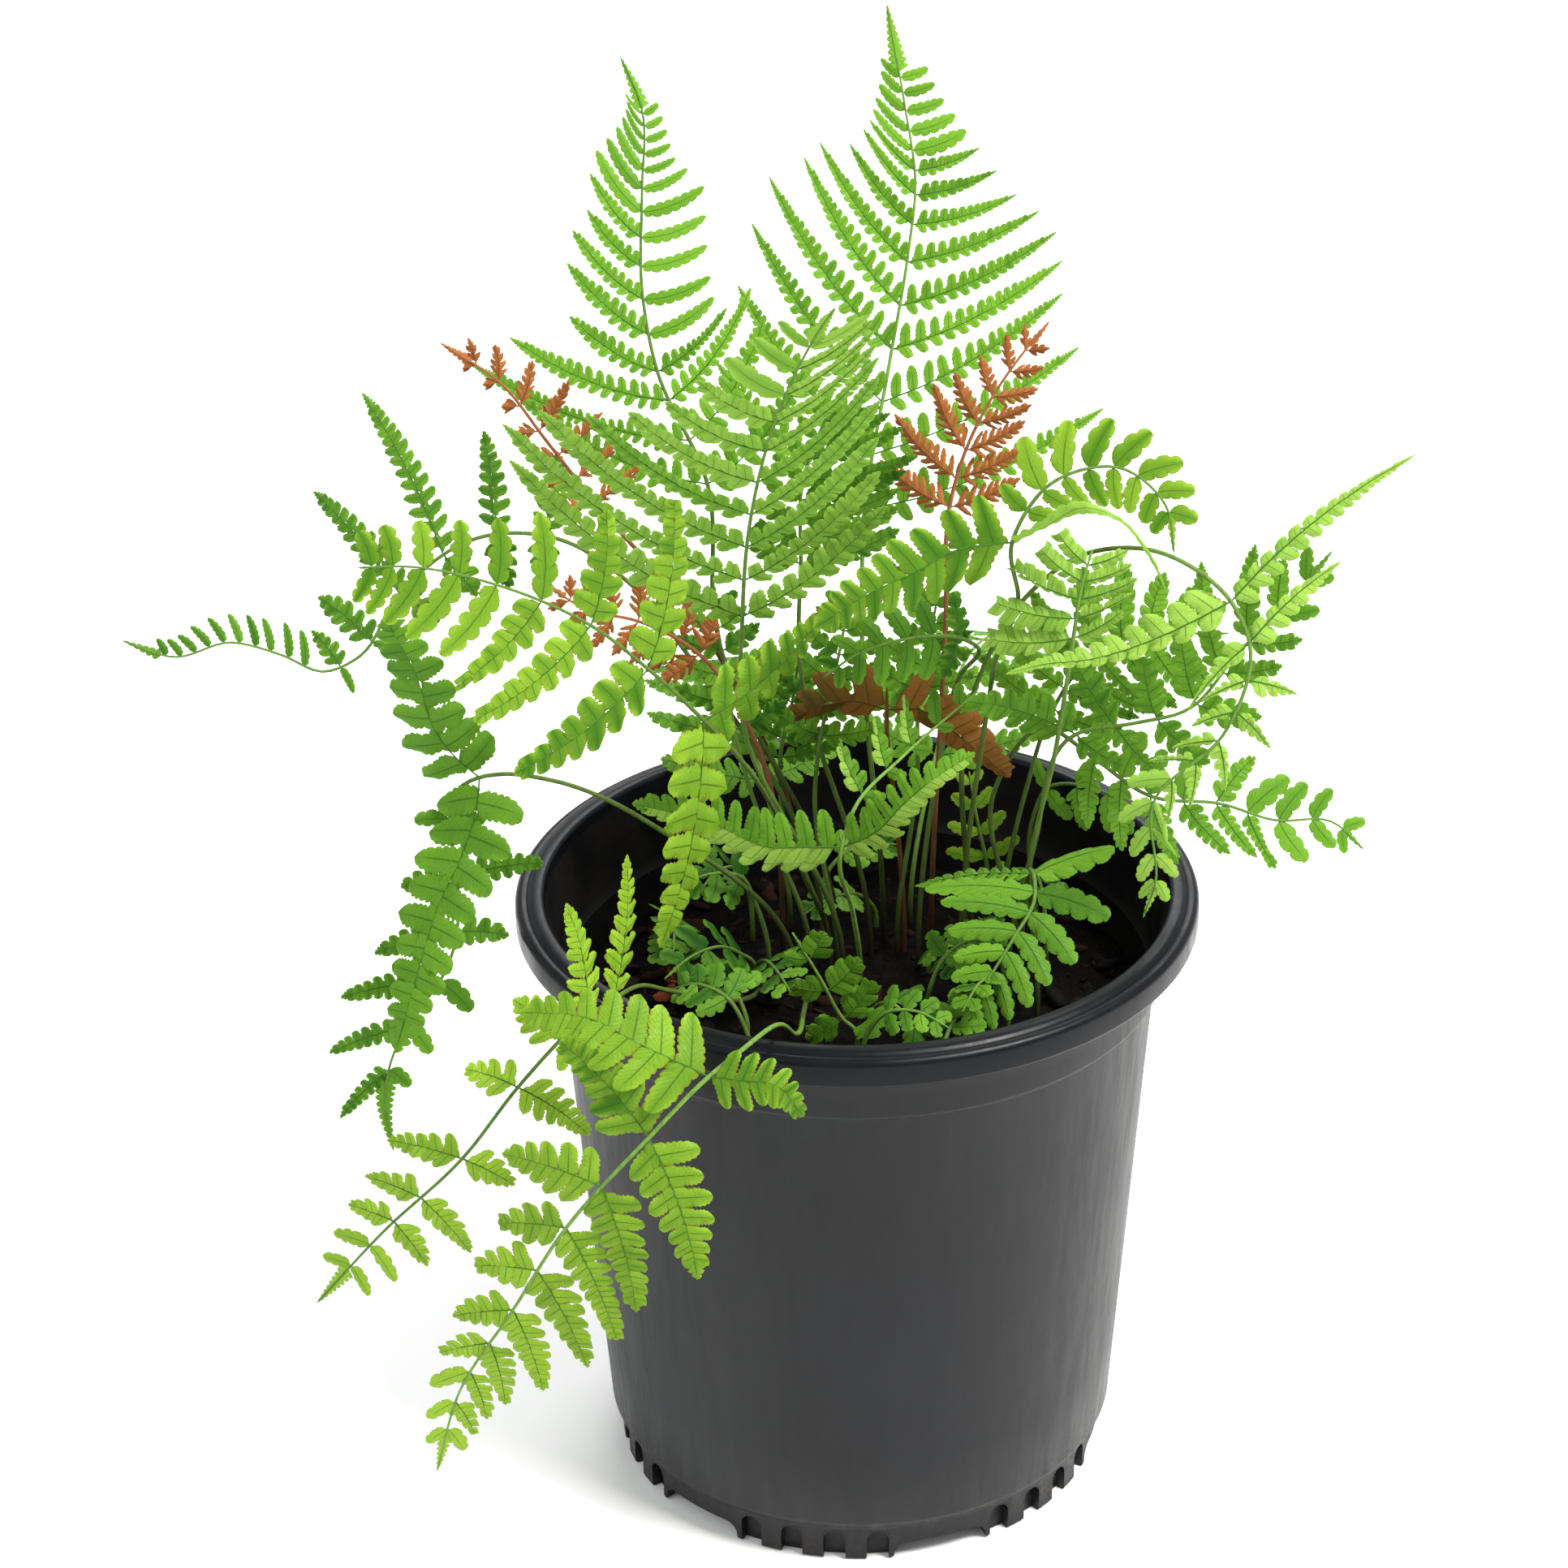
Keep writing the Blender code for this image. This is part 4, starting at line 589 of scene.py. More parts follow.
def smooth_line(points, steps):
    """Points along one smooth curve through the given ones."""
    points = [Vector(p) for p in points]
    gaps = [(b - a).length for a, b in zip(points, points[1:])]
    slopes = [(b - a) / gap for a, b, gap in zip(points, points[1:], gaps)]
    headings = [slopes[0]]
    for i in range(1, len(slopes)):
        share = gaps[i - 1] / (gaps[i - 1] + gaps[i])
        headings.append(slopes[i - 1].lerp(slopes[i], share))
    headings.append(slopes[-1])
    line = []
    for i, gap in enumerate(gaps):
        out = points[i] + headings[i] * gap / 3
        back = points[i + 1] - headings[i + 1] * gap / 3
        line += interpolate_bezier(points[i], out, back, points[i + 1], steps + 1)[:-1]
    return line + [points[-1]]


class Path:
    """A line walked by its length."""

    def __init__(self, points):
        self.points = [Vector(p) for p in points]
        self.reach = [0.0]
        for a, b in zip(self.points, self.points[1:]):
            self.reach.append(self.reach[-1] + (b - a).length)
        self.length = self.reach[-1]

    def at(self, distance):
        distance = clamp(distance, high=self.length)
        i = clamp(bisect.bisect_right(self.reach, distance) - 1, 0, len(self.points) - 2)
        span = self.reach[i + 1] - self.reach[i]
        return self.points[i].lerp(self.points[i + 1], (distance - self.reach[i]) / span)

    def heading(self, distance, reach=1.5):
        return (self.at(distance + reach) - self.at(distance - reach)).normalized()


def squared_to(normal, heading):
    """The part of normal at right angles to heading."""
    return (normal - heading * normal.dot(heading)).normalized()


def rolled(normal, aim, turn):
    """A normal turned about the line that it stands on."""
    return normal * math.cos(turn) + aim.cross(normal) * math.sin(turn)


def frond_path(frond):
    """The line of stem and rachis, from its rooted foot to its tip."""
    foot = Vector(frond.route[0]) - Vector((0, 0, ROOTED))
    collar = Vector(frond.route[0]) + Vector((0, 0, 3))
    return Path([foot] + smooth_line([frond.route[0], collar, *frond.route[1:]], LINE_STEPS))


def blade_start(frond, path):
    """How far along the path the lowest pinnae stand."""
    return path.reach[1 + LINE_STEPS * (frond.blade_from + 1)]


def blade_frame(frond, path, place):
    """Point, heading, face and right-hand side of the rachis at a place from 0 to 1."""
    start = blade_start(frond, path)
    distance = start + place * (path.length - start)
    heading = path.heading(distance, 4.0)
    spread = clamp(place) * (len(frond.faces) - 1)
    i = min(int(spread), max(len(frond.faces) - 2, 0))
    a = Vector(frond.faces[i]).normalized()
    b = Vector(frond.faces[min(i + 1, len(frond.faces) - 1)]).normalized()
    face = squared_to(a.lerp(b, spread - i), heading)
    return path.at(distance), heading, face, heading.cross(face)


def along_table(table, place):
    """Values of a table of rows (place, ...) read between its rows."""
    if place <= table[0][0]:
        return list(table[0][1:])
    for a, b in zip(table, table[1:]):
        if place <= b[0]:
            share = (place - a[0]) / (b[0] - a[0])
            return [x + (y - x) * share for x, y in zip(a[1:], b[1:])]
    return list(table[-1][1:])


def stations(frond, blade):
    """Places of the pairs of pinnae, closer together near the tip."""
    if frond.places:
        return list(frond.places)
    even = [1 - (1 - j / frond.pairs) ** frond.ease for j in range(frond.pairs)]
    kept = even[:1]
    for place in even[1:]:
        if (place - kept[-1]) * blade > LEAST_SPACING:
            kept.append(place)
    return kept


def pinna_row(frond, hand, place):
    """Length, angle and lift of a hand's pinna at a place."""
    table = frond.right if hand > 0 else frond.left
    return along_table([(*row, 0.0)[:4] for row in table], place)


def pinna_line(frond, path, place, hand, number):
    """The rib of one pinna: its points from the rachis to its tip, its face and the length of
    its longest leaflets."""
    root, heading, face, right = blade_frame(frond, path, place)
    for side, at_number, reach, route in frond.limbs:
        if side == hand and at_number == number:
            return smooth_line([root, *route], 4), face, reach
    reach = along_table(frond.reach, place)[0]
    length, angle, lift = pinna_row(frond, hand, place)
    if length <= 0:
        return None, face, reach
    rise = math.radians(lift)

    def aim(degrees):
        turn = math.radians(degrees)
        out = right * (hand * math.cos(rise)) + face * math.sin(rise)
        return heading * math.cos(turn) + out * math.sin(turn)

    tip = root + aim(angle) * length
    middle = root + aim(angle + FORWARD_BEND) * (length * 0.5) + face * (frond.droop * length)
    line = [root.lerp(middle, t).lerp(middle.lerp(tip, t), t) for t in (0, 0.2, 0.4, 0.6, 0.8, 1)]
    turned_face = face * math.cos(rise) - right * (hand * math.sin(rise))
    return line, squared_to(turned_face, aim(angle)), reach


def nearest_on(point, line):
    """The point of a line of points that is nearest to a point."""
    best = line[0]
    for a, b in zip(line, line[1:]):
        foot, share = intersect_point_line(point, a, b)
        foot = a if share < 0 else b if share > 1 else foot
        if (point - foot).length < (point - best).length:
            best = foot
    return best


def tint(red, green, blue):
    """A screen colour, 0 to 255, as linear light."""
    out = []
    for value in (red, green, blue):
        share = value / 255
        out.append(share / 12.92 if share <= 0.04045 else ((share + 0.055) / 1.055) ** 2.4)
    return tuple(out)


class Piece:
    """Gathers the faces of one piece, with what its materials read at each vertex."""

    def __init__(self):
        self.points = []
        self.faces = []
        self.materials = []
        self.marks = {"across": [], "along": [], "tone": []}
        self.count = 0

    def add(self, points, faces, material, across, along, tone):
        self.points.append(np.asarray(points, float))
        self.faces += [tuple(i + self.count for i in face) for face in faces]
        self.materials += [material] * len(faces)
        size = len(points)
        for values, value in zip(self.marks.values(), (across, along, tone)):
            values.append(np.broadcast_to(value, size))
        self.count += size

    def make(self, name, materials, slot, *nodes):
        mesh = bpy.data.meshes.new(name)
        points = np.concatenate(self.points) * MM
        mesh.from_pydata(points.tolist(), [], self.faces)
        for label, values in self.marks.items():
            layer = mesh.attributes.new(label, "FLOAT", "POINT")
            layer.data.foreach_set("value", np.concatenate(values).astype(np.float32))
        mesh.polygons.foreach_set("material_index", self.materials)
        mesh.shade_smooth()
        for material in materials:
            mesh.materials.append(material)
        return place(name, mesh, slot, *nodes)


def linked(name, data):
    """A new object in the scene."""
    made = bpy.data.objects.new(name, data)
    bpy.context.scene.collection.objects.link(made)
    return made


def place(name, mesh, slot, *nodes):
    """An object that rides on the part and stands for these nodes, which it hides. slot: not used.
    """
    piece = linked(name, mesh)
    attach(piece, BODY)
    if nodes:
        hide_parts(*nodes)
    return piece


def leaflet_form(teeth, columns, base, blunt, depth, join, flare):
    """A leaflet's pattern: rows of (share along, half width, share across), and its faces.
    base: width at the rib beside the widest. blunt: higher is rounder at the tip. join: how far
    out it grows together with its neighbours, where it is flare times as wide."""
    rows = [(0.0, flare), (join, flare)] if join else [(0.0, base), (0.1, 0.5 + 0.5 * base)]
    begin = join + 0.05 if join else 0.2
    rows.append((begin, 1.0))
    cuts = FINE_TEETH if teeth > 4 else COARSE_TEETH
    for i in range(teeth):
        for share, cut in cuts:
            along = (i + share) / teeth
            half = (1 - cut * depth) * math.sqrt(1 - along**blunt)
            rows.append((begin + (LAST_TOOTH - begin) * along, half))
    across = np.linspace(-1, 1, columns)
    grid = [(along, v * width, abs(v)) for along, width in rows for v in across]
    grid.append((1.0, 0.0, 0.0))
    faces = []
    for row in range(len(rows) - 1):
        for j in range(columns - 1):
            a = row * columns + j
            faces.append((a, a + 1, a + 1 + columns, a + columns))
    tip = len(grid) - 1
    last = (len(rows) - 1) * columns
    faces += [(last + j, last + j + 1, tip) for j in range(columns - 1)]
    return np.array(grid), faces


FORMS = {}


def form(*key):
    if key not in FORMS:
        FORMS[key] = leaflet_form(*key)
    return FORMS[key]


def add_leaflet(piece, pattern, root, out, aim, normal, length, half, bend, tone, material):
    """One leaflet from a rib. out: away from the rib. aim: along it. bend: (lean, sickle, cup,
    droop, bulge, twist, wave, phase)."""
    grid, faces = pattern
    lean, sickle, cup, droop, bulge, twist, wave, phase = bend
    along, width, across = grid[:, 0], grid[:, 1], grid[:, 2]
    out, aim, normal = np.array(out), np.array(aim), np.array(normal)
    step = width * half
    forward = step + lean * length * along + sickle * length * along**2
    lift = -cup * half * across**2 - droop * length * along**2
    lift = lift + bulge * half * 4 * across * (1 - across) + twist * step * along
    lift = lift + wave * half * across**2 * np.sin(9 * along + phase + width)
    points = np.array(root) + np.outer(along * length, out)
    points = points + np.outer(forward, aim) + np.outer(lift, normal)
    piece.add(points, faces, material, across, along, tone)


def add_blade(
    piece, frame_at, start, end, half_at, tooth, depth, cup, tone, wave=0.0, material=LEAF
):
    """A simple blade with a lobed edge along a rib. half_at: its half width at a share."""
    count = max(2, round((end - start) / tooth)) * LOBE_ROWS
    across = (-1.0, -0.5, 0.0, 0.5, 1.0)
    columns = len(across)
    points, shares, edges = [], [], []
    for i in range(count + 1):
        share = i / count
        centre, aim, normal = frame_at(start + (end - start) * share)
        out = aim.cross(normal)
        half = half_at(share)
        for v in across:
            side = abs(v)
            lobe = (i + (LOBE_SHIFT if v > 0 else 0)) / LOBE_ROWS
            lobed = 1 - math.sqrt(abs(math.sin(math.pi * lobe)))
            notch = 1 - side**2 * (depth * lobed + LOBE_TEETH * (i % 2))
            lift = -cup * half * v * v + BULGE * half * 4 * side * (1 - side)
            lift += wave * half * side * math.sin(4.5 * i / LOBE_ROWS + 2 * v)
            point = centre + out * (v * half * notch) + aim * (LOBE_FORWARD * half * side)
            points.append(point + normal * lift)
            shares.append(share)
            edges.append(side)
    faces = []
    for i in range(count):
        for j in range(columns - 1):
            a = i * columns + j
            faces.append((a, a + columns, a + columns + 1, a + 1))
    piece.add([tuple(p) for p in points], faces, material, edges, shares, tone)


def add_tube(piece, line, radii, sides, along, tone):
    """A round tube along points, closed to a point at its far end."""
    points = [Vector(p) for p in line]
    heading = (points[1] - points[0]).normalized()
    side = heading.orthogonal().normalized()
    rings, shares = [], []
    for i, point in enumerate(points):
        ahead = points[min(i + 1, len(points) - 1)] - points[max(i - 1, 0)]
        heading = ahead.normalized()
        side = squared_to(side, heading)
        up = heading.cross(side)
        for j in range(sides):
            turn = 2 * math.pi * j / sides
            rings.append(point + (side * math.cos(turn) + up * math.sin(turn)) * radii[i])
            shares.append(along[i])
    faces = []
    for i in range(len(points) - 1):
        for j in range(sides):
            a, b = i * sides + j, i * sides + (j + 1) % sides
            faces.append((a, b, b + sides, a + sides))
    last = (len(points) - 1) * sides
    rings.append(points[-1] + heading * radii[-1])
    shares.append(along[-1])
    faces += [(last + j, last + (j + 1) % sides, len(rings) - 1) for j in range(sides)]
    piece.add([tuple(p) for p in rings], faces, STALK, 0.0, shares, tone)


def walk(length, step):
    """Distances along a length, evenly about step apart."""
    count = max(2, round(length / step) + 1)
    return [length * i / (count - 1) for i in range(count)]


@dataclass
class Habit:
    """How a frond's leaflets sit, in shares of their length where nothing else is said.

    step: their spacing. fill: their width beside that spacing. join: how far they grow together.
    merge: how much further at the frond's tip. lean, cup, droop: how far they lean along the
    rib, bend down at the sides and hang at the tip. simple: pinnae shorter than this stay
    undivided, plump wide on each side and broad more in millimetres, with lobes cut in by notch.
    far: size of the leaflets on the left of each rib beside those on the right. under: the same
    for those that face the frond's foot, which pale shows from below. size: beside that of the
    frond's table. taper: how much smaller they get to the pinna's tip. fold: degrees that both
    sides are raised. sickle: how far a pinna bends to the frond's tip. tone, stalk: how light
    leaf and stem are, and spread how much the tone varies. wild: how much the leaflets bend at
    random. apex: where the undivided tail starts. least: closest spacing in millimetres. strip:
    the hand on which the lowest pinna is a pale twisted strip. places: where the pairs stand, if
    not as in the table. look: the leaf colour, if not the frond's own. fade: how much lighter
    the pinnae are painted from the frond's foot to its tip, as painted light and shade for the
    way the light falls along the frond.
    """

    step: float = 0.8
    fill: float = 0.86
    join: float = 0.1
    merge: float = 0.4
    lean: float = 0.35
    simple: float = 13.0
    plump: float = 0.2
    notch: float = 0.3
    far: float = 1.0
    under: float = 1.0
    size: float = 1.0
    taper: float = 0.3
    fold: float = 0.0
    sickle: float = 0.05
    cup: float = 0.2
    droop: float = 0.1
    tone: float = 0.5
    spread: float = 0.25
    wild: float = 1.0
    apex: float = 0.89
    least: float = 1.7
    stalk: float = 0.4
    pale: bool = False
    strip: int = 0
    broad: float = 0.3
    places: tuple = ()
    look: str = ""
    fade: float = 0.0


HABITS = {
    "frond_tall_right": Habit(
        0.68, 0.7, -0.2, 0.75, 0.25, 17, 0.15, tone=0.75, size=1.25, under=0.7, taper=0.6, fold=24,
        sickle=0.1, apex=0.86, stalk=0.6,
        places=(
            0, 0.11, 0.216, 0.321, 0.408, 0.494, 0.568, 0.626, 0.673, 0.712, 0.75, 0.79, 0.825,
            0.855,
        ),
    ),
    "frond_tall_left": Habit(
        0.7, 0.74, -0.1, 0.6, 0.25, 22, 0.085, tone=0.7, size=1.2, under=0.8, taper=0.5, fold=14,
        sickle=0.2, apex=0.86, stalk=0.15, broad=0.5,
        places=(
            0, 0.105, 0.205, 0.275, 0.36, 0.44, 0.515, 0.58, 0.638, 0.69, 0.732, 0.768, 0.8, 0.83,
            0.858,
        ),
    ),
    "frond_pale_middle": Habit(
        0.84, 0.92, 0.1, 0.7, 0.35, 22, 0.17, 0.2, tone=0.35, under=0.9, fold=8, sickle=0.16,
        size=1.08,
    ),
    "frond_left_front": Habit(
        0.84, 0.9, 0.1, 0.4, 0.16, 27, 0.1, 0.42, tone=0.3, size=1.1, taper=0.3, sickle=0.08,
        least=5.0, stalk=0.3, apex=0.98, broad=1.9,
    ),
    "frond_far_left": Habit(
        0.72, 0.7, 0.0, 0.3, 0.3, tone=0.35, cup=0.5, apex=0.95, plump=0.1, broad=0.4,
        places=(
            0.04, 0.14, 0.25, 0.37, 0.48, 0.56, 0.63, 0.665, 0.7, 0.73, 0.76, 0.79, 0.82, 0.85,
            0.88, 0.91,
        ),
    ),
    "frond_over_left_rim": Habit(0.74, 0.94, 0.0, 0.2, 0.12, 15, 0.24, 0.3, tone=0.35, taper=0.1),
    # this frond's pinnae are painted lighter towards its tip, as painted light and shade
    "frond_hanging_front": Habit(
        0.58, 0.93, 0.12, 0.4, 0.3, 14, 0.22, tone=0.75, taper=0.45, size=1.25, least=3.4,
        stalk=0.6, fade=0.9,
    ),
    "frond_hanging_left": Habit(
        0.66, 0.88, 0.05, 0.4, 0.4, tone=0.75, taper=0.45, size=1.2, stalk=0.3
    ),
    "frond_arched_right": Habit(
        0.56, 0.92, 0.06, 0.3, 0.3, 19, 0.16, 0.28, tone=0.25, strip=1, broad=1.2, look="fresh"
    ),
    "frond_far_right": Habit(
        0.86, 0.95, 0.06, 0.3, 0.3, tone=0.85, far=0.5, wild=2.2, cup=0.4, taper=0.75, size=1.1
    ),
    "frond_right_behind": Habit(simple=15, tone=0.5),
    "frond_right_middle": Habit(0.8, 0.92, 0.2, 0.4, simple=12, tone=0.6, wild=2.0, size=1.1),
    "frond_pale_right": Habit(
        0.8, 0.95, 0.3, 0.4, simple=10, tone=0.6, wild=6.0, cup=0.6, droop=0.6, size=1.25
    ),
    "frond_low_right": Habit(simple=17, tone=0.65, plump=0.22),
    "frond_small_front_right": Habit(
        simple=34, tone=0.65, plump=0.17, notch=0.32, broad=1.1, cup=0.35, wild=1.4, lean=0.5
    ),
    "frond_curled_front": Habit(
        0.5, 0.84, 0.0, tone=0.5, cup=0.2, size=1.35, under=0.7, pale=True, least=4.5, stalk=0.7,
        look="green",
    ),
    "frond_dark_middle": Habit(tone=0.3, cup=0.4, size=1.2),
    "frond_middle_behind": Habit(0.78, 0.94, 0.2, 0.4, tone=0.4, size=1.35),
    "frond_withered": Habit(
        0.7, 0.95, 0.45, simple=8, tone=0.5, cup=0.5, droop=0.4, wild=3.0, spread=1.2, size=1.5
    ),
    "leaf_dry": Habit(join=0.3, cup=0.9, droop=0.6, wild=4.0, spread=0.9),
    "leaf_front_low": Habit(
        0.7, 0.96, 0.3, 0.5, simple=9, size=1.6, taper=0.2, plump=0.3, notch=0.5, tone=0.5,
        least=3.4, look="green",
    ),
    "leaf_front_round": Habit(simple=20, plump=0.38, tone=0.3, notch=0.6, broad=0.8),
    "leaf_left_middle": Habit(simple=20, plump=0.3, tone=0.15, notch=0.5),
    "leaf_left_low": Habit(simple=20, plump=0.3, tone=0.15, notch=0.5),
}
COPPER_HABIT = Habit(
    0.6, 0.62, 0.0, 0.1, simple=4, cup=0.7, droop=0.5, lean=0.6, wild=2.2, size=1.3, taper=0.45,
    least=2.2, tone=0.55, places=(0, 0.14, 0.28, 0.42, 0.56, 0.7, 0.82),
)
YOUNG_HABIT = Habit(0.78, 0.92, 0.1, 0.4, simple=10, tone=0.35, spread=0.6, size=1.25, wild=2.0)
SPROUT_HABIT = Habit(simple=20, plump=0.26, notch=0.5, tone=0.35, broad=0.6, spread=0.8)


def fine_reach(point, aim, share, length, reach, neighbours):
    """How far a leaflet reaches from a point of the rib: less where a neighbour runs beside it."""
    reach = min(reach * (1 - 0.7 * share**2.2), 0.34 * length)
    for line in neighbours:
        away = nearest_on(point, line) - point
        beside = max((away - aim * away.dot(aim)).length, 0.3 * away.length)
        reach = min(reach, 0.45 * away.length**2 / max(beside, 0.01))
    return reach


def sickled(line, heading, share):
    """A rib bent on towards the frond's tip, its two ends left in place."""
    sag = share * (line[-1] - line[0]).length
    count = len(line) - 1
    return [p - heading * (sag * i / count * (1 - i / count)) for i, p in enumerate(line)]


def grow_pinna(piece, habit, line, face, reach, neighbours, start, merged, foot, draw):
    """A rib with its leaflets on both sides and a lobed tip. foot: the way to the frond's foot."""
    path = Path(line)
    # painted light and shade: the tone rises from the frond's foot to its tip
    lighter = habit.fade * (merged - 0.5)
    tone = clamp(draw.gauss(habit.tone + lighter, 0.45 * habit.spread))
    turn = math.radians(draw.uniform(-RIB_TURN, RIB_TURN) * habit.wild)

    def frame_at(distance):
        aim = path.heading(distance)
        normal = rolled(squared_to(Vector(face), aim), aim, turn)
        return path.at(distance), aim, normal.normalized()

    def bend(lean, strong):
        wild = habit.wild * strong
        return (
            lean + draw.uniform(-0.06, 0.06) * wild,
            draw.uniform(-0.02, 0.12) * wild,
            habit.cup * draw.uniform(1 - 0.4 * strong, 1 + 0.4 * strong),
            habit.droop * draw.uniform(1 - 0.8 * strong, 1 + 0.8 * strong),
            LEAFLET_BULGE,
            draw.uniform(-0.25, 0.25) * wild,
            LEAFLET_WAVE,
            draw.uniform(0, 6),
        )

    def leaf_tone():
        return clamp(tone + draw.gauss(0, habit.spread * 0.35))

    if path.length < habit.simple:
        plump = habit.plump + 0.012 * max(0.0, 10 - path.length)
        middle = path.at(0.4 * path.length)
        widest = min(
            plump * path.length + habit.broad,
            0.42 * path.length,
            1.4 * reach + 0.5 + habit.broad,
            *[0.54 * (middle - nearest_on(middle, other)).length for other in neighbours],
        )

        def half_at(share):
            return widest * min(1.0, 0.72 + 1.6 * share) * max(1 - share**3.4, 0.0) ** 0.6

        tooth = max(1.2 * widest, 1.4)
        notch = habit.notch * min(1.0, 0.5 + path.length / 30)
        ways = (tooth, notch, habit.cup * draw.uniform(0.4, 1.5), leaf_tone(), 0.06)
        add_blade(piece, frame_at, start * 0.4, path.length, half_at, *ways)
        return
    distances = walk(path.length * RIB_END, RIB_STEP)
    line = [path.at(d) - frame_at(d)[2] * 0.05 for d in distances]
    radii = [RIB_RADIUS * (1 - 0.7 * d / path.length) for d in distances]
    add_tube(piece, line, radii, RIB_SIDES, [RIB_MARK] * len(distances), tone)
    distance = start
    tip_length = max(TIP_LEAST, TIP_SHARE * path.length)

    def size_at(distance):
        share = distance / path.length
        aim = path.heading(distance)
        size = fine_reach(path.at(distance), aim, share, path.length, reach, neighbours)
        return habit.size * size * (1 - habit.taper * share**1.6)

    while distance < path.length - tip_length:
        step = max(habit.step * size_at(distance) + LEAFLET_GAP, habit.least)
        centre = distance + 0.5 * step
        share = centre / path.length
        size = size_at(centre)
        small = clamp((6.0 - size) / 4)
        join = habit.join + habit.merge * merged + 0.55 * share**1.3 + 0.2 * small
        join = 0.1 * round(10 * clamp(join, high=0.8))
        fill = habit.fill + (0.96 - habit.fill) * min(1.0, 2.0 * join)
        for hand in (1, -1):
            shift = 0.0 if hand > 0 else LEFT_SHIFT * step
            point, aim, normal = frame_at(centre + shift)
            out = aim.cross(normal) * hand
            rise = math.radians(habit.fold)
            side_normal = normal * math.cos(rise) - out * math.sin(rise)
            out = out * math.cos(rise) + normal * math.sin(rise)
            length = size * draw.uniform(0.9, 1.05) * (habit.far if hand < 0 else 1.0)
            low = out.dot(foot) > 0
            length *= habit.under if low else 1.0
            under = low and habit.pale
            teeth = next(count for least, count in TEETH if size > least)
            columns = 5 if size > WIDE_LEAFLET else 3
            edge = (LEAFLET_BASE, LEAFLET_BLUNT, LEAFLET_NOTCH, UNDER_JOIN if under else join)
            pattern = form(teeth, columns, *edge, OVERLAP / fill)
            half = 0.5 * step * fill
            ways = bend(habit.lean, 1 - 0.8 * join)
            ways = (*ways[:2], ways[2] * (1 - 0.7 * join), *ways[3:])
            look = (UNDER_TONE, PALE) if under else (leaf_tone(), LEAF)
            add_leaflet(piece, pattern, point, out, aim, side_normal, length, half, ways, *look)
        distance += step

    end_size = size_at(distance) * (0.5 + 0.5 * habit.under)

    def half_at(share):
        return end_size * (1 - share) ** 0.7

    tooth = max(0.6 * end_size, 1.1)
    add_blade(piece, frame_at, distance - 0.7, path.length, half_at, tooth, 0.5, habit.cup, tone)


def grow_strip(piece, line, face):
    """A pinna that has curled up into one pale twisted strip."""
    path = Path(line)

    def frame_at(distance):
        aim = path.heading(distance)
        turn = 0.9 * math.sin(0.12 * distance + 0.6)
        return path.at(distance), aim, rolled(squared_to(Vector(face), aim), aim, turn)

    def half_at(share):
        return STRIP_HALF * (0.6 + 0.4 * math.sin(7 * share)) * (1 - share**3) + 0.2

    add_blade(piece, frame_at, 0.0, path.length, half_at, 3.5, 0.25, 0.4, 0.75, 0.15, PALE)


def fine_places(frond, blade, habit):
    """The places of the table's pairs, and small pairs between the last of them and the tip."""
    if habit.places:
        return list(habit.places)
    places = stations(frond, blade)
    if len(places) > 5:
        places = [place for place in places if place < habit.apex]
    gap = (places[-1] - places[-2]) * blade if len(places) > 1 else 5.0
    place = places[-1]
    while len(places) > 1:
        gap = max(gap * 0.86, FINE_SPACING)
        place += gap / blade
        if place > habit.apex:
            break
        places.append(place)
    return places


def grow_apex(piece, habit, frond, path, place, start, blade, draw):
    """The undivided tail of a blade, past its last pair."""
    length, angle = pinna_row(frond, 1, place)[:2]
    other = pinna_row(frond, -1, place)[0]
    wide = max(0.55 * (length + other) * math.sin(math.radians(angle)), 1.2)

    def frame_at(distance):
        return blade_frame(frond, path, (distance - start) / blade)[:3]

    def half_at(share):
        return min(wide, 0.15 * blade * (1 - place)) * (1 - share) ** 0.8

    begin = start + place * blade
    tone = clamp(habit.tone + draw.uniform(0, 0.3))
    add_blade(piece, frame_at, begin, path.length, half_at, 2.0, 0.5, habit.cup, tone)


def grow_into(piece, frond, habit, draw):
    """One whole frond, added to a piece: stem, rachis, ribs and leaflets."""
    path = frond_path(frond)
    start = blade_start(frond, path)
    blade = path.length - start

    def radius(distance):
        if distance < start:
            return STEM_RADIUS + (BLADE_RADIUS - STEM_RADIUS) * distance / start
        return BLADE_RADIUS + (TIP_RADIUS - BLADE_RADIUS) * (distance - start) / blade

    distances = walk(path.length * STEM_END, STEM_STEP)
    line = [path.at(d) for d in distances]
    radii = [radius(d) for d in distances]
    shares = [0.7 * d / start if d < start else 0.7 + 0.3 * (d - start) / blade for d in distances]
    add_tube(piece, line, radii, STEM_SIDES, shares, habit.stalk * draw.uniform(0.7, 1.3))
    places = fine_places(frond, blade, habit)
    lines = {
        hand: [pinna_line(frond, path, place, hand, i) for i, place in enumerate(places)]
        for hand in (1, -1)
    }
    headings = [blade_frame(frond, path, place)[1] for place in places]
    for j in range(len(places)):
        for hand in (1, -1):
            line, face, reach = lines[hand][j]
            if line is None:
                continue
            if j == 0 and hand == habit.strip:
                grow_strip(piece, line, face)
                continue
            near = [lines[hand][i][0] for i in (j - 1, j + 1) if 0 <= i < len(places)]
            limb = any(side == hand and at == j for side, at, *_ in frond.limbs)
            near = [other for other in near if other is not None and not limb]
            clear = radius(start + places[j] * blade) + 0.3
            line = sickled(line, headings[j], habit.sickle)
            grow_pinna(piece, habit, line, face, reach, near, clear, places[j], -headings[j], draw)
    if len(places) > 1:
        grow_apex(piece, habit, frond, path, places[-1] + 1.5 / blade, start, blade, draw)


def habit_of(frond):
    return HABITS.get(frond.name, COPPER_HABIT if frond.colour == "copper" else Habit())


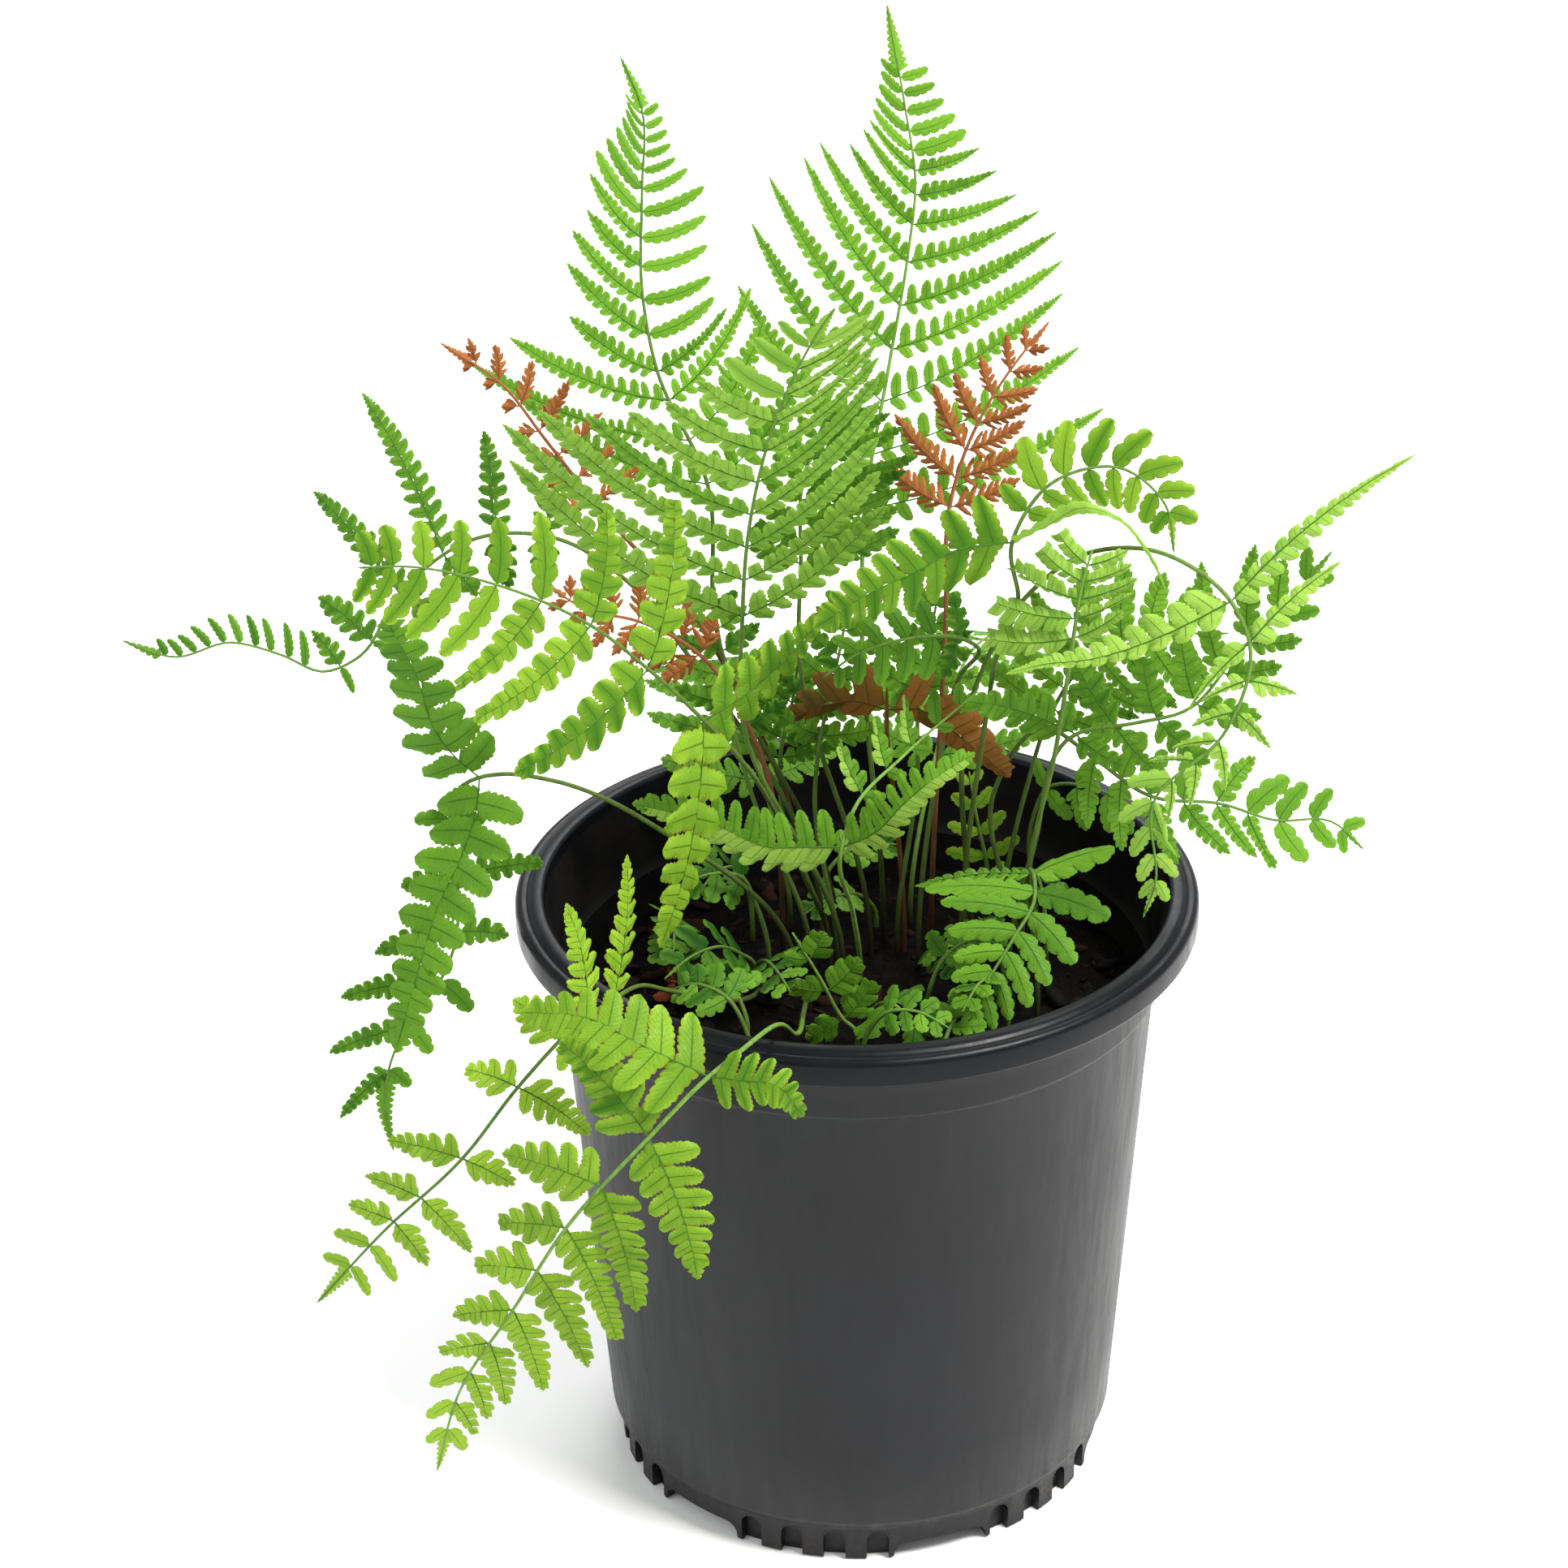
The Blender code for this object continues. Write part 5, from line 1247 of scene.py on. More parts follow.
def grow_frond(frond, number, materials):
    """A frond of the table as one finer piece."""
    piece = Piece()
    grow_into(piece, frond, habit_of(frond), random.Random(SEED + 31 * number))
    return piece.make(frond.name + "_fine", materials, frond.colour, frond.name)


def grow_young(materials):
    """Young fronds that fill the middle behind the large ones, seen only in parts."""
    draw = random.Random(SEED + 3)
    piece = Piece()
    for route in YOUNG_ROUTES:
        young = Frond(
            "young", "green", route=route, blade_from=2, faces=(YOUNG_FACE, YOUNG_FACE),
            right=YOUNG_ROWS, left=YOUNG_ROWS, pairs=7, reach=YOUNG_REACH,
        )
        grow_into(piece, young, YOUNG_HABIT, draw)
    return piece.make("young_fronds", materials, "green")


def grow_sprouts(materials):
    """Small young fronds, low over the mix and between the stems."""
    draw = random.Random(SEED + 2)
    piece = Piece()
    for i in range(SPROUTS):
        radius = SPROUT_NEAREST + SPROUT_BAND * math.sqrt((i + 0.5) / SPROUTS)
        turn = SPROUT_TURN * i + 0.5
        foot = Vector((*polar(radius, turn), STEM_FOOT))
        heading = turn + draw.uniform(1.2, 2.4) * draw.choice((1, -1))
        out = Vector((*polar(1.0, heading), 0.0))
        if (foot + SPROUT_REACH * out).xy.length > SPROUT_EDGE:
            out = -out
        high = draw.uniform(8, 26)
        route = [tuple(foot + out * far + Vector((0, 0, high * up))) for far, up in SPROUT_STEPS]
        face = (0.5 * draw.uniform(-1, 1), -0.45, 0.85)
        side = draw.uniform(8, 11)
        rows = ((0.0, side, 72), (0.5, 0.8 * side, 62), (1.0, 4, 45))
        sprout = Frond(
            "sprout", "green", route=route, blade_from=2, faces=(face, face), right=rows,
            left=rows, places=(0.0, 0.27, 0.52, 0.76), reach=((0.0, 3.5), (1.0, 2.5)),
        )
        grow_into(piece, sprout, SPROUT_HABIT, draw)
    return piece.make("sprouts", materials, "green")


class Nodes:
    """Short calls for building a material's nodes."""

    def __init__(self, name):
        self.material = bpy.data.materials.new(name)
        self.material.use_nodes = True
        self.tree = self.material.node_tree
        self.shader = self.tree.nodes["Principled BSDF"]
        self.output = self.tree.nodes["Material Output"]
        self.where = self.node("ShaderNodeTexCoord").outputs["Object"]

    def node(self, kind, **settings):
        made = self.tree.nodes.new(kind)
        for key, value in settings.items():
            setattr(made, key, value)
        return made

    def link(self, source, target):
        self.tree.links.new(source, target)

    def put(self, value, target):
        """A socket's link or its plain value."""
        if isinstance(value, bpy.types.NodeSocket):
            self.link(value, target)
        else:
            target.default_value = value

    def attribute(self, name):
        return self.node("ShaderNodeAttribute", attribute_name=name).outputs["Fac"]

    def noise(self, per_mm, detail=3.0, rough=0.55, stretch=None):
        where = self.where
        if stretch:
            moved = self.node("ShaderNodeMapping")
            self.link(where, moved.inputs["Vector"])
            moved.inputs["Scale"].default_value = stretch
            where = moved.outputs["Vector"]
        made = self.node("ShaderNodeTexNoise")
        self.link(where, made.inputs["Vector"])
        made.inputs["Scale"].default_value = per_mm / MM
        made.inputs["Detail"].default_value = detail
        made.inputs["Roughness"].default_value = rough
        return made.outputs["Fac"]

    def math(self, operation, *values):
        made = self.node("ShaderNodeMath", operation=operation)
        for value, target in zip(values, made.inputs):
            self.put(value, target)
        return made.outputs[0]

    def times(self, a, b):
        return self.math("MULTIPLY", a, b)

    def plus(self, a, b):
        return self.math("ADD", a, b)

    def remap(self, value, low, high, to_low=0.0, to_high=1.0):
        made = self.node("ShaderNodeMapRange", interpolation_type="SMOOTHSTEP")
        names = ("From Min", "From Max", "To Min", "To Max")
        for name, number in zip(names, (low, high, to_low, to_high)):
            made.inputs[name].default_value = number
        self.link(value, made.inputs["Value"])
        return made.outputs["Result"]

    def colour(self, value, target):
        """A colour socket's link or its plain colour."""
        self.put((*value, 1.0) if isinstance(value, tuple) else value, target)

    def mix(self, share, a, b):
        """Two colours mixed. 6 and 7 are the node's colour inputs and 2 its colour output."""
        made = self.node("ShaderNodeMix", data_type="RGBA")
        self.put(share, made.inputs["Factor"])
        self.colour(a, made.inputs[6])
        self.colour(b, made.inputs[7])
        return made.outputs[2]

    def bump(self, height, distance, strength=1.0, under=None):
        made = self.node("ShaderNodeBump")
        made.inputs["Strength"].default_value = strength
        made.inputs["Distance"].default_value = distance * MM
        self.link(height, made.inputs["Height"])
        if under:
            self.link(under, made.inputs["Normal"])
        return made.outputs["Normal"]

    def finish(self, colour, roughness, normal=None, specular=None):
        self.colour(colour, self.shader.inputs["Base Color"])
        self.put(roughness, self.shader.inputs["Roughness"])
        if specular is not None:
            self.shader.inputs["Specular IOR Level"].default_value = specular
        if normal:
            self.link(normal, self.shader.inputs["Normal"])
        return self.material


def leaf_material(name, dark, light, vein, edge, rust, through):
    """A leaf's skin. dark, light: the two ends of its tones. vein: the midvein. edge: what the
    margin turns to, over the share rust of it. through: how much light comes through."""
    dark, light, vein, edge = [tint(*colour) for colour in (dark, light, vein, edge)]
    n = Nodes(name)
    across, along, tone = n.attribute("across"), n.attribute("along"), n.attribute("tone")
    colour = n.mix(tone, dark, light)
    patches = n.noise(0.06, 2.0)
    outer = n.times(n.remap(along, 0.1, 1.0, 0.25, 1.0), n.remap(across, 0.1, 1.0))
    outer = n.times(outer, n.remap(patches, 0.3, 0.65, 0.3, 0.85))
    colour = n.mix(outer, colour, light)
    grain = n.noise(1.1, 3.0)
    colour = n.mix(n.remap(grain, 0.3, 0.75, 0.0, 0.16), colour, dark)
    forks = n.math("SUBTRACT", n.times(along, 9.0), n.times(across, 2.2))
    forks = n.math("ABSOLUTE", n.math("SINE", n.times(forks, math.pi)))
    lines = n.remap(forks, 0.0, 0.4, 1.0, 0.0)
    colour = n.mix(n.times(lines, 0.1), colour, vein)
    midvein = n.remap(across, 0.01, 0.1, 1.0, 0.0)
    midvein = n.times(midvein, n.remap(along, 0.5, 1.0, 1.0, 0.2))
    colour = n.mix(n.times(midvein, 0.7), colour, vein)
    worn = n.remap(n.noise(0.16, 2.0), 1.0 - rust, 1.12 - rust)
    margin = n.times(n.remap(across, 0.86, 1.0), worn)
    colour = n.mix(n.times(margin, 0.7), colour, edge)
    height = n.plus(n.times(lines, -0.5), n.times(midvein, -1.0))
    normal = n.bump(n.plus(height, n.times(grain, 0.5)), 0.2, 0.7)
    roughness = n.remap(grain, 0.2, 0.8, 0.4, 0.55)
    n.finish(colour, roughness, normal, 0.13)
    glow = n.node("ShaderNodeBsdfTranslucent")
    n.link(n.mix(0.35, colour, light), glow.inputs["Color"])
    both = n.node("ShaderNodeMixShader")
    both.inputs["Fac"].default_value = through
    n.link(n.shader.outputs[0], both.inputs[1])
    n.link(glow.outputs[0], both.inputs[2])
    n.link(both.outputs[0], n.output.inputs["Surface"])
    return n.material


def stalk_material(name, foot, middle, top, light, rib):
    """A stem's skin: its colour from foot to tip, with fine lengthwise streaks. Its darkening
    towards the foot is partly the stem's own brown and partly painted shade for the deep shade
    among the stems. top, light: the two ends of its tones at the tip. rib: the ribs of the pinnae."""
    foot, middle, top, light, rib = [tint(*colour) for colour in (foot, middle, top, light, rib)]
    n = Nodes(name)
    along, tone = n.attribute("along"), n.attribute("tone")
    # painted shade: the colour darkens from the middle to the near-black foot, besides the stem's
    # own brown
    colour = n.mix(n.remap(along, 0.02, 0.35), foot, n.mix(tone, middle, light))
    colour = n.mix(n.remap(along, 0.45, 1.0), colour, n.mix(tone, top, light))
    colour = n.mix(n.remap(along, 1.05, 1.15), colour, rib)
    streaks = n.noise(0.9, 2.0, 0.6, (1.0, 1.0, 0.12))
    colour = n.mix(n.remap(streaks, 0.4, 0.75, 0.0, 0.35), colour, foot)
    return n.finish(colour, 0.55, n.bump(streaks, 0.15, 0.5), 0.15)


def pot_material():
    """Recycled black plastic: satin, faintly mottled, with scuffs and dust near the foot."""
    n = Nodes("pot_plastic")
    height = n.node("ShaderNodeSeparateXYZ")
    n.link(n.where, height.inputs[0])
    z = height.outputs["Z"]
    mottle = n.noise(0.02, 4.0)
    colour = n.mix(n.remap(mottle, 0.3, 0.7), tint(9, 11, 15), tint(15, 17, 22))
    fine = n.noise(0.7, 4.0, 0.65)
    dust = n.times(n.remap(z, 0.03, 0.0), n.remap(fine, 0.45, 0.7))
    colour = n.mix(n.times(dust, 0.16), colour, tint(104, 84, 64))
    specks = n.remap(n.noise(0.32, 5.0, 0.8), 0.74, 0.78)
    colour = n.mix(n.times(specks, 0.45), colour, tint(140, 128, 112))
    scuffs = n.noise(0.25, 3.0, 0.7, (1.0, 1.0, 0.1))
    worn = n.remap(z, (POT_HEIGHT - 30) * MM, (POT_HEIGHT - 8) * MM, 0.1, 0.0)
    roughness = n.plus(n.remap(scuffs, 0.3, 0.7, 0.28, 0.38), n.times(dust, 0.3))
    roughness = n.plus(roughness, worn)
    normal = n.bump(n.noise(0.045, 3.0), 0.5, 0.35)
    normal = n.bump(fine, 0.05, 0.35, normal)
    gloss = n.remap(z, (POT_HEIGHT - 14) * MM, (POT_HEIGHT - 9) * MM, 0.25, 0.14)
    n.link(gloss, n.shader.inputs["Specular IOR Level"])
    return n.finish(colour, roughness, normal)


def pot_inside_material():
    """The pot's inner wall, dull with dried peat."""
    n = Nodes("pot_plastic_inside")
    film = n.noise(0.05, 4.0, 0.65)
    colour = n.mix(n.remap(film, 0.35, 0.7), tint(9, 9, 10), tint(20, 17, 15))
    normal = n.bump(n.noise(0.4, 3.0), 0.1, 0.5)
    return n.finish(colour, n.remap(film, 0.3, 0.7, 0.5, 0.75), normal, 0.1)


def mix_material():
    """Peat and bark dust, near black: partly the peat's own dark brown and partly painted shade
    for the shade of the pot's wall and the fronds above.
    """
    n = Nodes("potting_mix_peat_painted_shade")
    coarse = n.noise(0.12, 5.0, 0.7)
    fine = n.noise(0.9, 4.0, 0.7)
    # painted shade: the peat's own browns are darkened to near black
    colour = n.mix(n.remap(coarse, 0.35, 0.68), tint(3, 2, 2), tint(11, 7, 5))
    colour = n.mix(n.remap(fine, 0.55, 0.75, 0.0, 0.6), colour, tint(27, 16, 10))
    normal = n.bump(coarse, 1.6, 0.9)
    normal = n.bump(fine, 0.5, 0.8, normal)
    return n.finish(colour, n.remap(fine, 0.3, 0.7, 0.7, 0.95), normal, 0.06)


def chip_material():
    """Bark: each chip has its own brown, with grain along it. The browns are darkened, most chips
    to near black, as painted shade for the shade over the mix.
    """
    n = Nodes("bark_chip")
    tone = n.attribute("tone")
    # painted shade: both browns are darkened for the shade of the pot and the fronds
    colour = n.mix(tone, tint(6, 4, 3), tint(50, 25, 14))
    grain = n.noise(0.8, 4.0, 0.6, (1.0, 0.25, 1.0))
    colour = n.mix(n.remap(grain, 0.4, 0.7, 0.0, 0.6), colour, tint(18, 11, 8))
    return n.finish(colour, 0.8, n.bump(grain, 0.4, 0.7), 0.08)


def made_mesh(name, bm):
    mesh = bpy.data.meshes.new(name)
    bm.to_mesh(mesh)
    bm.free()
    return mesh


def turned(name, profile, sides):
    """A solid of revolution. profile: (radius, height) from the top of the axis to its foot."""
    bm = bmesh.new()
    line = [bm.verts.new((radius, 0, height)) for radius, height in profile]
    for a, b in zip(line, line[1:]):
        bm.edges.new((a, b))
    turn = dict(axis=(0, 0, 1), cent=(0, 0, 0), angle=2 * math.pi, steps=sides, use_merge=True)
    bmesh.ops.spin(bm, geom=bm.verts[:] + bm.edges[:], **turn)
    bmesh.ops.remove_doubles(bm, verts=bm.verts[:], dist=1e-3)
    bmesh.ops.recalc_face_normals(bm, faces=bm.faces[:])
    return made_mesh(name, bm)


def prism(name, outline, depth, place_at):
    """A flat outline in XZ carried depth along Y, then placed."""
    bm = bmesh.new()
    face = bm.faces.new([bm.verts.new((x, 0, z)) for x, z in outline])
    grown = bmesh.ops.extrude_face_region(bm, geom=[face])["geom"]
    moved = [v for v in grown if isinstance(v, bmesh.types.BMVert)]
    bmesh.ops.translate(bm, verts=moved, vec=(0, depth, 0))
    bmesh.ops.recalc_face_normals(bm, faces=bm.faces[:])
    bmesh.ops.transform(bm, matrix=place_at, verts=bm.verts[:])
    return made_mesh(name, bm)


def drain_cutter(place_at):
    """A rod through the floor of the drain channel."""
    bm = bmesh.new()
    low, high = CHANNEL_HEIGHT - 2, CHANNEL_TOP + 2
    size = dict(segments=32, radius1=DRAIN_RADIUS, radius2=DRAIN_RADIUS, depth=high - low)
    bmesh.ops.create_cone(bm, cap_ends=True, **size)
    bmesh.ops.translate(bm, verts=bm.verts[:], vec=(place_at[0], place_at[1], (low + high) / 2))
    return made_mesh("drain", bm)


def facing(degrees):
    """Turns the -Y side to a compass angle, counted from the photographed side towards +X."""
    return Matrix.Rotation(math.radians(degrees), 4, "Z")


def inner_wall(height):
    """Inside radius of the pot at a height between its floor and its band."""
    share = (height - BODY_LOW) / (BAND_LOW - BODY_LOW)
    return BODY_LOW_RADIUS + (BODY_TOP_RADIUS - BODY_LOW_RADIUS) * share - WALL


def arc(centre, radius, start, end, steps=6):
    """Points of an arc in the profile's plane, angles in degrees from outward, up."""
    turns = [math.radians(start + (end - start) * i / steps) for i in range(steps + 1)]
    return [(centre[0] + radius * math.cos(t), centre[1] + radius * math.sin(t)) for t in turns]


def pot_profile():
    """The pot's outline, from the middle of its inside over the rim to the middle of its base."""
    top = POT_HEIGHT
    inside = [
        (0, FLOOR),
        (FLOOR_RADIUS, FLOOR),
        (FLOOR_RADIUS + 3, CHANNEL_TOP),
        (FOOT_RADIUS - 2, CHANNEL_TOP),
        (inner_wall(BODY_LOW + 1), BODY_LOW + 1),
        *[(inner_wall(h), h) for h in (40, 70, 100, 130)],
        (inner_wall(BAND_LOW), BAND_LOW - 0.6),
        (inner_wall(BAND_LOW) + 0.7, BAND_LOW),
        (BAND_RADIUS - WALL - 0.9, BAND_LOW + 2.4),
        (BAND_RADIUS - WALL, top - 14),
        (BAND_RADIUS - WALL + 0.5, top - 10),
        (OPENING_RADIUS - 0.2, top - 4),
    ]
    rim = [
        *arc((OPENING_RADIUS + 1.6, top - 1.6), 1.6, 180, 90, 5),
        (OPENING_RADIUS + 3.4, top - 0.15),
        (OPENING_RADIUS + 4.6, top - 0.6),
        (OPENING_RADIUS + 5.2, top - 1.35),
        (OPENING_RADIUS + 5.6, top - 1.2),
        *arc((RIM_RADIUS - 2.2, top - 3.2), 2.2, 115, 0, 8),
        (RIM_RADIUS, top - 5.4),
        *arc((RIM_RADIUS - 1.4, top - 8.2), 1.4, 0, -80, 5),
        (RIM_RADIUS - 3.5, top - 9.9),
        (BAND_RADIUS + 1.6, top - 10.6),
        (BAND_RADIUS + 0.5, top - 11.6),
    ]
    outside = [
        (BAND_RADIUS, top - 13.5),
        (BAND_RADIUS - 0.4, top - 19),
        *arc((BAND_RADIUS - 2.6, BAND_LOW + 2.9), 2.0, 0, -60, 5),
        (BODY_TOP_RADIUS + 0.2, BAND_LOW + 0.4),
        (BODY_TOP_RADIUS, BAND_LOW - 0.6),
        *[(inner_wall(h) + WALL, h) for h in (130, 100, 70, 40)],
        (BODY_LOW_RADIUS + 0.1, BODY_LOW + 1.5),
        (BODY_LOW_RADIUS - 0.6, BODY_LOW),
        (FOOT_RADIUS + 0.8, BODY_LOW - 1.8),
        (FOOT_RADIUS, BODY_LOW - 3.2),
        (FOOT_RADIUS, 0.6),
        (FOOT_RADIUS - 0.6, 0),
        (CHANNEL_OUT + 0.6, 0),
        (CHANNEL_OUT, 0.6),
        (CHANNEL_OUT, CHANNEL_HEIGHT),
        (FLOOR_RADIUS + 3, CHANNEL_HEIGHT),
        (FLOOR_RADIUS + 1, 0),
        (0, 0),
    ]
    return inside + rim + outside


def pot_cutters():
    """What is cut out of the turned pot: flutes, arches between their groups, drain holes."""
    half, top = FLUTE_WIDTH / 2, FLUTE_HEIGHT - FLUTE_WIDTH / 2
    flute = [(-half, -2), (half, -2)] + arc((0, top), half, 0, 180, 14)
    wide = FOOT_RADIUS * math.sin(math.radians(ARCH_WIDTH / 2))
    x, z = wide - ARCH_CORNER - 1, ARCH_HEIGHT - ARCH_CORNER
    arch = [(-wide, -2), (wide, -2)]
    arch += arc((x, z), ARCH_CORNER, 0, 90, 6) + arc((-x, z), ARCH_CORNER, 90, 180, 6)
    outside = Matrix.Translation((0, -(FOOT_RADIUS + PAST), 0))
    cutters = []
    for group in range(FOOT_GROUPS):
        centre = FIRST_GROUP + 360 / FOOT_GROUPS * group
        for i in range(FLUTES):
            turn = facing(centre + FLUTE_STEP * (i - (FLUTES - 1) / 2))
            cutters.append(prism("flute", flute, PAST + FLUTE_DEPTH, turn @ outside))
        between = facing(centre + 180 / FOOT_GROUPS)
        through = PAST + FOOT_RADIUS - CHANNEL_OUT + 2
        cutters.append(prism("arch", arch, through, between @ outside))
        hole = between @ Vector((0, -(FLOOR_RADIUS + CHANNEL_OUT + 2) / 2, 0))
        cutters.append(drain_cutter(hole))
    return cutters


def cut_out(mesh, cutters):
    """The mesh without what the cutters cover, in metres."""
    group = bpy.data.collections.new("pot_cutters")
    bpy.context.scene.collection.children.link(group)
    for i, cutter in enumerate(cutters):
        cutter.transform(Matrix.Scale(MM, 4))
        group.objects.link(bpy.data.objects.new(f"cutter_{i}", cutter))
    mesh.transform(Matrix.Scale(MM, 4))
    whole = linked("pot_fine_cut", mesh)
    change = whole.modifiers.new("cut", "BOOLEAN")
    change.operation = "DIFFERENCE"
    change.operand_type = "COLLECTION"
    change.collection = group
    depsgraph = bpy.context.evaluated_depsgraph_get()
    made = bpy.data.meshes.new_from_object(whole.evaluated_get(depsgraph))
    for obj in [whole, *group.objects]:
        bpy.data.objects.remove(obj, do_unlink=True)
    bpy.data.collections.remove(group)
    return made


def make_pot():
    made = cut_out(turned("pot_fine", pot_profile(), POT_SIDES), pot_cutters())
    made.shade_smooth()
    made.set_sharp_from_angle(angle=math.radians(SHARP))
    made.materials.clear()
    made.materials.append(pot_material())
    made.materials.append(pot_inside_material())
    for face in made.polygons:
        at = face.center
        inward = at.xy.dot(face.normal.xy) < 0 and at.xy.length < BAND_RADIUS * MM
        if inward and FLOOR * MM < at.z < (POT_HEIGHT - 3) * MM:
            face.material_index = 1
    return place("pot_fine", made, "pot_black", "pot")


def soil_height(x, y):
    """Height of the mix's surface, in millimetres."""
    height = SOIL_TOP - SOIL_SINK
    for fine, shift, rise in CLODS:
        height += noise.noise(Vector((x, y, 0)) * fine + Vector(shift)) * rise
    return height - max(0.0, math.hypot(x, y) - EDGE_FROM) * EDGE_FALL


def ring(radius):
    """The points of a ring of the mix, as (x, y)."""
    return [polar(radius, 2 * math.pi * i / SOIL_SIDES) for i in range(SOIL_SIDES)]


def make_mix():
    wall = inner_wall(SOIL_TOP) - SOIL_GAP
    points = []
    for number in range(1, SOIL_RINGS + 1):
        points += [(x, y, soil_height(x, y)) for x, y in ring(wall * number / SOIL_RINGS)]
    below = [
        (inner_wall(BODY_LOW + 1) - SOIL_GAP, BODY_LOW + 1.4),
        (FOOT_RADIUS - 2 - SOIL_GAP, CHANNEL_TOP + 0.4),
        (FLOOR_RADIUS + 3 - SOIL_GAP, CHANNEL_TOP + 0.4),
        (FLOOR_RADIUS - SOIL_GAP, FLOOR + 0.3),
    ]
    for radius, height in below:
        points += [(x, y, height) for x, y in ring(radius)]
    faces = []
    sides = [(i, (i + 1) % SOIL_SIDES) for i in range(SOIL_SIDES)]
    last = len(points) - SOIL_SIDES
    for a in range(0, last, SOIL_SIDES):
        b = a + SOIL_SIDES
        faces += [(a + i, b + i, b + j, a + j) for i, j in sides]
    points += [(0, 0, soil_height(0, 0)), (0, 0, FLOOR + 0.3)]
    top, foot = len(points) - 2, len(points) - 1
    for i, j in sides:
        faces += [(i, j, top), (last + j, last + i, foot)]
    piece = Piece()
    piece.add(points, faces, 0, 0.0, 0.0, 0.5)
    return piece.make("potting_mix_fine", [mix_material()], "mix_dark", "potting_mix")


def chip_form():
    """A ball's points and faces, to be pressed into chips."""
    bm = bmesh.new()
    bmesh.ops.create_icosphere(bm, subdivisions=2, radius=1.0)
    points = np.array([tuple(v.co) for v in bm.verts])
    faces = [tuple(v.index for v in face.verts) for face in bm.faces]
    bm.free()
    return points, faces


def make_chips():
    """Bark chips and crumbs that lie on the mix, half sunk."""
    draw = random.Random(SEED + 1)
    ball, faces = chip_form()
    piece = Piece()
    wall = inner_wall(SOIL_TOP) - CHIP_EDGE
    for i in range(CHIPS):
        radius, turn = wall * math.sqrt(draw.random()), draw.uniform(0, 2 * math.pi)
        x, y = polar(radius, turn)
        big = draw.random() ** 4
        long = CHIP_LEAST + CHIP_MORE * big
        wide = long * draw.uniform(0.35, 0.75)
        thick = min(long * draw.uniform(0.15, 0.4), CHIP_THICKEST)
        blocky = np.sign(ball) * np.abs(ball) ** draw.uniform(0.55, 0.9)
        rough = np.array([noise.noise(Vector(p) * 1.6 + Vector((i, 0, 0))) for p in ball])
        points = blocky * (1 + 0.3 * rough[:, None]) * np.array([long, wide, thick])
        turns = [Matrix.Rotation(draw.uniform(a, b), 3, axis) for axis, a, b in CHIP_TURNS]
        points = points @ np.array(turns[2] @ (turns[0] @ turns[1])).T
        points += np.array([x, y, soil_height(x, y) + 0.25 * thick])
        # painted shade: chip tones are drawn mostly towards the dark end
        piece.add(points, faces, 0, 0.0, 0.0, draw.random() ** 3)
    return piece.make("bark_chips", [chip_material()], "mix_dark")


def make_stage():
    """A plain pale floor and soft studio light."""
    bpy.ops.mesh.primitive_plane_add(size=FLOOR_SIZE, location=(0, 0, -FLOOR_DROP))
    floor = bpy.context.object
    floor.name = "floor"
    n = Nodes("floor_white")
    n.finish((0.96, 0.96, 0.955), n.remap(n.noise(0.004, 2.0), 0.3, 0.7, 0.6, 0.7), None, 0.3)
    floor.data.materials.append(n.material)
    world = bpy.data.worlds.new("studio")
    bpy.context.scene.world = world
    world.use_nodes = True
    back = world.node_tree.nodes["Background"]
    back.inputs["Color"].default_value = (1.0, 1.0, 1.0, 1.0)
    back.inputs["Strength"].default_value = SKY_LIGHT
    for name, at, size, power, colour in LAMPS:
        data = bpy.data.lights.new(name, "AREA")
        data.shape = "DISK"
        data.size = size
        data.energy = power
        data.color = colour
        lamp = linked(name, data)
        lamp.location = at
        aim = Vector(LAMPS_AIM) - Vector(at)
        lamp.rotation_euler = aim.to_track_quat("-Z", "Y").to_euler()
    bpy.context.scene.view_settings.view_transform = "Standard"


